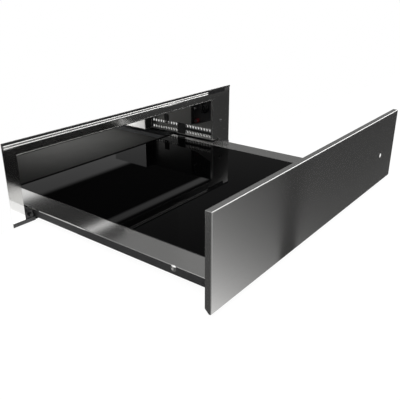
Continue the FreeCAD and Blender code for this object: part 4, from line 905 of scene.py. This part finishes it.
floor_finish = Finish("floor", Base_Color=(0.8, 0.8, 0.8, 1.0), Roughness=0.9)
paper = floor_finish.node("Emission", {"Color": (1.0, 1.0, 1.0, 1.0), "Strength": FLOOR_PAPER})
cloth = Value(floor_finish, floor_finish.shader.outputs[0])
floor_finish.surface(floor_finish.node("MixShader", {0: seen(floor_finish) * FLOOR_SHARE, 1: cloth,
                                                     2: paper}))
flat_mesh("floor", [(-WIDE, -WIDE, 0.0), (WIDE, -WIDE, 0.0), (WIDE, WIDE, 0.0), (-WIDE, WIDE, 0.0)],
          [(0, 1, 2, 3)], floor_finish.material)

wall_finish = Finish("wall")
front_only = 1.0 - wall_finish.node("NewGeometry", output="Backfacing")
to_camera = wall_finish.node("LightPath", output="Is Camera Ray") * front_only
clear = wall_finish.node("BsdfTransparent")
paper = wall_finish.node("Emission", {"Color": (1.0, 1.0, 1.0, 1.0), "Strength": PAPER})
wall_finish.surface(wall_finish.node("MixShader", {0: to_camera, 1: clear, 2: paper}))
columns = (-WIDE, housing_low.x, housing_high.x, WIDE)
rows = (0.0, 0.1 * MM, housing_high.z, WIDE)
wall_y = housing_low.y
wall = flat_mesh("wall", [(x, wall_y, z) for z in rows for x in columns],
                 [(8, 9, 13, 12), (9, 10, 14, 13), (10, 11, 15, 14), (4, 5, 9, 8), (6, 7, 11, 10)],
                 wall_finish.material)
wall.visible_shadow = False

# %% [markdown]
# ## Light
# A broad lamp above and a weaker one from the left light the set at a plain level, so that a colour
# looks about as it is written. One lamp lies under the cavity's ceiling, and one stands in the air
# duct, so that the duct's slots shine.

# %% World
class Backdrop(Finish):
    """The world's tree, with the same node maker."""

    def __init__(self, world):
        world.use_nodes = True
        self.tree = world.node_tree
        self.shader = self.tree.nodes["Background"]


world = bpy.data.worlds.new("studio")
bpy.context.scene.world = world
sky = Backdrop(world)
sky.shader.inputs["Color"].default_value = (1.0, 1.0, 1.0, 1.0)
DIFFUSE_SKY = 0.6
sky.link(sky.node("MapRange", {"Value": seen(sky), "To Min": DIFFUSE_SKY, "To Max": 1.0}), "Strength")
print("the sky lights the drawer with", DIFFUSE_SKY, "and looks white")


# %% Lamps
def lamp(name, place, aim, size, radiance):
    """A flat lamp that mirrors don't see; radiance is how bright its face is, where 1 is white."""
    data = bpy.data.lights.new(name, "AREA")
    data.shape = "RECTANGLE"
    data.size, data.size_y = size
    data.energy = radiance * math.pi * size[0] * size[1]
    made = bpy.data.objects.new(name, data)
    made.location = place
    made.rotation_euler = (Vector(aim) - Vector(place)).to_track_quat("-Z", "Y").to_euler()
    made.visible_glossy = False
    bpy.context.scene.collection.objects.link(made)
    print(name, round(data.energy, 2), "W")


lamp("overhead", (0.3, -0.6, 2.2), (0.0, 0.0, 0.0), (1.6, 1.6), 2.0)
lamp("left_fill", (-2.2, -0.8, 1.0), (0.0, -0.2, 0.0), (1.0, 1.0), 1.0)
cavity_start, cavity_end = FACE + 235 * MM, rear_liner - 4 * MM
cavity_middle = ((liner_left + fan_low.x) / 2 + 100 * MM, (cavity_start + cavity_end) / 2, ceiling - 1 * MM)
lamp("cavity_lamp", cavity_middle, (cavity_middle[0], cavity_middle[1], 0.0),
     (fan_low.x - liner_left - 230 * MM, cavity_end - cavity_start), 5.8)
duct_lamp_x = housing_high.x - 2 * MM
duct_lamp = ((duct_lamp_x, FACE + 95 * MM, 34 * MM), (0.0, FACE + 95 * MM, 34 * MM), (180 * MM, 50 * MM))
lamp("duct_lamp", *duct_lamp, 3.0)

# %% [markdown]
# ## Cards
# Polished metal shows whatever stands round it, so glowing cards paint its reflections: dark ones paint
# shade where the steel should read dark, grey ones where it should fade, and white is left where it should
# shine. A card glows with a tone of its own and is seen in mirrors only. Its tone may vary over it, a
# painted fall-off of light. Two small ones are clear from behind: they paint shade into an image in the
# tray and leave their neighbours alone.

# %% A card, lying or standing
def card(name, corners, low, high=None, mask=None, one_sided=False):
    """A glowing sheet that only mirrors see, a painted reflection; its tone runs from low to high by a mask.
    One side may be clear.
    """
    finish = Finish(name, Base_Color=(0.0, 0.0, 0.0, 1.0), Roughness=1.0, Emission_Strength=1.0,
                    Specular_IOR_Level=0.0, Emission_Color=(low, low, low, 1.0))
    if mask is not None:
        finish.link(finish.colour((low,) * 3, (high,) * 3, mask(finish)), "Emission Color")
    if one_sided:
        finish.link(1.0 - finish.node("NewGeometry", output="Backfacing"), "Alpha")
    made = flat_mesh(name, corners, [(0, 1, 2, 3)], finish.material)
    made.visible_camera = made.visible_diffuse = made.visible_shadow = made.visible_transmission = False


def floor_card(name, x, y, *tones):
    """A card lying on the floor between two limits each way."""
    card(name, [(x[0], y[0], MM), (x[1], y[0], MM), (x[1], y[1], MM), (x[0], y[1], MM)], *tones)


def standing_card(name, start, end, z, *tones, **sides):
    """An upright card over a line from start to end (x, y), between two heights."""
    (ax, ay), (bx, by) = start, end
    card(name, [(ax, ay, z[0]), (bx, by, z[0]), (bx, by, z[1]), (ax, ay, z[1])], *tones, **sides)


# %% The card that the front mirrors
front_low, front_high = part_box("front_skin")
front_face, front_back, front_left = front_low.y, front_high.y, front_low.x
FAR = 4.0
STRIPE = (-140 * MM, -94 * MM)


def band(finish, place, start, end, soft):
    """1 where a value lies between start and end, with soft edges."""
    rise = finish.node("MapRange", {"Value": place, "From Min": start - soft, "From Max": start + soft},
                       interpolation_type="SMOOTHSTEP")
    fall = finish.node("MapRange", {"Value": place, "From Min": end - soft, "From Max": end + soft},
                       interpolation_type="SMOOTHSTEP")
    return rise * (1.0 - fall)


def front_tones(finish):
    """The painted reflection that the front mirrors: a painted highlight exp(-(x - x0) / k), k = 0.09 + 0.32
    d at the distance d from the front.

    A painted dark stripe crosses it. Lines on the floor that meet under the lens look upright in the front,
    so the stripe runs where (x + t Cx) / (1 + t) is constant, t being d in camera distances.
    """
    away = front_face - finish.along("Y")
    # Painted highlight: brightest at the front's left edge, fading to the right, more slowly further out.
    glow = math.e ** ((front_left - finish.along("X")) / (away * 0.32 + 0.09))
    share = away / (front_face - CAMERA_PLACE[1])
    upright = (finish.along("X") + share * CAMERA_PLACE[0]) / (share + 1.0)
    stripe = band(finish, upright, *STRIPE, 8 * MM)
    # A faint painted glow near the front, a dark floor level, and the painted stripe taken out of it all.
    near = math.e ** (away * -12.0)
    return (glow * 0.93 + near * 0.035 + 0.057) * (1.0 - stripe * 0.68)


floor_card("front_card", (front_left - 5 * MM, FAR), (-3.0, front_face), 0.0, 1.0, front_tones)

# %% Cards on the floor round the drawer
# Painted reflections round the drawer: the dark cards paint shade into the steel's images of the floor, and
# the bright stile card paints a highlight.
floor_card("corner_card", (-FAR, front_left - 5 * MM), (-3.0, front_face), 0.33)
floor_card("left_card", (-FAR, tray_low.x), (front_face, FACE - 90 * MM), 0.09)
floor_card("stile_card", (-0.7, tray_low.x), (FACE - 90 * MM, FACE), 1.4)
floor_card("right_card", (front_high.x + 5 * MM, FAR), (front_face, 1.0), 0.036)
floor_card("foot_card", (tray_high.x, front_high.x + 5 * MM), (front_back, FACE), 0.036)

# %% Cards that stand
SIDE_X, BACK_Y = 1.6, 1.2
# The backdrop and side cards paint a grey surround into the steel's reflections, the side one a little
# lighter high up.
standing_card("backdrop_card", (-2.0, BACK_Y), (FAR, BACK_Y), (0.3, 3.0), 0.22)
standing_card("side_card", (SIDE_X, -0.3), (SIDE_X, BACK_Y), (0.05, 2.2), 0.20, 0.25,
              lambda finish: band(finish, finish.along("Z"), 0.85, 9.0, 0.15))
# The rail card, dark and clear from behind, paints shade into the rail's image in the tray.
rail_y, rail_end = FACE - 3 * MM, -62 * MM
standing_card("rail_card", (frame_low.x, rail_y), (rail_end, rail_y), (ceiling + 2 * MM, frame_high.z),
              0.05, one_sided=True)
# The gate card paints a highlight beside the tray's left skirt.
gate_x = tray_low.x - 1.4 * MM
standing_card("gate_card", (gate_x, FACE - 100 * MM), (gate_x, FACE - 6 * MM), (MM, 19 * MM), 0.95)
# The key card paints a bright highlight into the steel; the night card paints shade.
card("key_card", [(SIDE_X, -0.45, 0.06), (SIDE_X, -0.45, 0.96), (SIDE_X, -1.75, 2.67),
                  (SIDE_X, -1.75, 1.77)], 3.0)
card("night_card", [(SIDE_X, -0.45, 0.05), (SIDE_X, -1.6, 0.3), (SIDE_X, -2.4, 1.2),
                    (SIDE_X, -2.2, 2.32)], 0.01)


# %% Cards in the cavity
def ceiling_tones(finish):
    """Painted light: the lit rear of the ceiling, and a narrow lit strip behind the mouth."""
    rear = band(finish, finish.along("Y"), FACE + 250 * MM, rear_liner + 1.0, 14 * MM)
    return rear + band(finish, finish.along("Y"), FACE + 12 * MM, FACE + 34 * MM, 6 * MM)


card_z = ceiling - 2 * MM
card("ceiling_card", [(liner_left, FACE + 2 * MM, card_z), (DUCT_X, FACE + 2 * MM, card_z),
                      (DUCT_X, rear_liner, card_z), (liner_left, rear_liner, card_z)],
     0.03, 0.95, ceiling_tones)
# The fan card, grey and clear from behind, paints shade into the fan box's image in the tray's glass.
fan_card_x = fan_low.x - 1 * MM
standing_card("fan_card", (fan_card_x, fan_high.y), (fan_card_x, fan_low.y), (fan_low.z, card_z), 0.5,
              one_sided=True)

# %% Light inside the air duct
glow_finish = Finish("duct_glow", Base_Color=(0.0, 0.0, 0.0, 1.0), Emission_Color=(1.0, 1.0, 0.99, 1.0),
                     Emission_Strength=1.1)
glow_x, glow_y = housing_high.x - 3 * MM, fan_low.y - 1 * MM
glow_plan = ((glow_x, FACE + 5 * MM), (glow_x, glow_y), (DUCT_X + 2 * MM, glow_y))
flat_mesh("duct_glow", [(x, y, z) for x, y in glow_plan for z in (24 * MM, 62 * MM)],
          [(0, 2, 3, 1), (2, 4, 5, 3)], glow_finish.material)
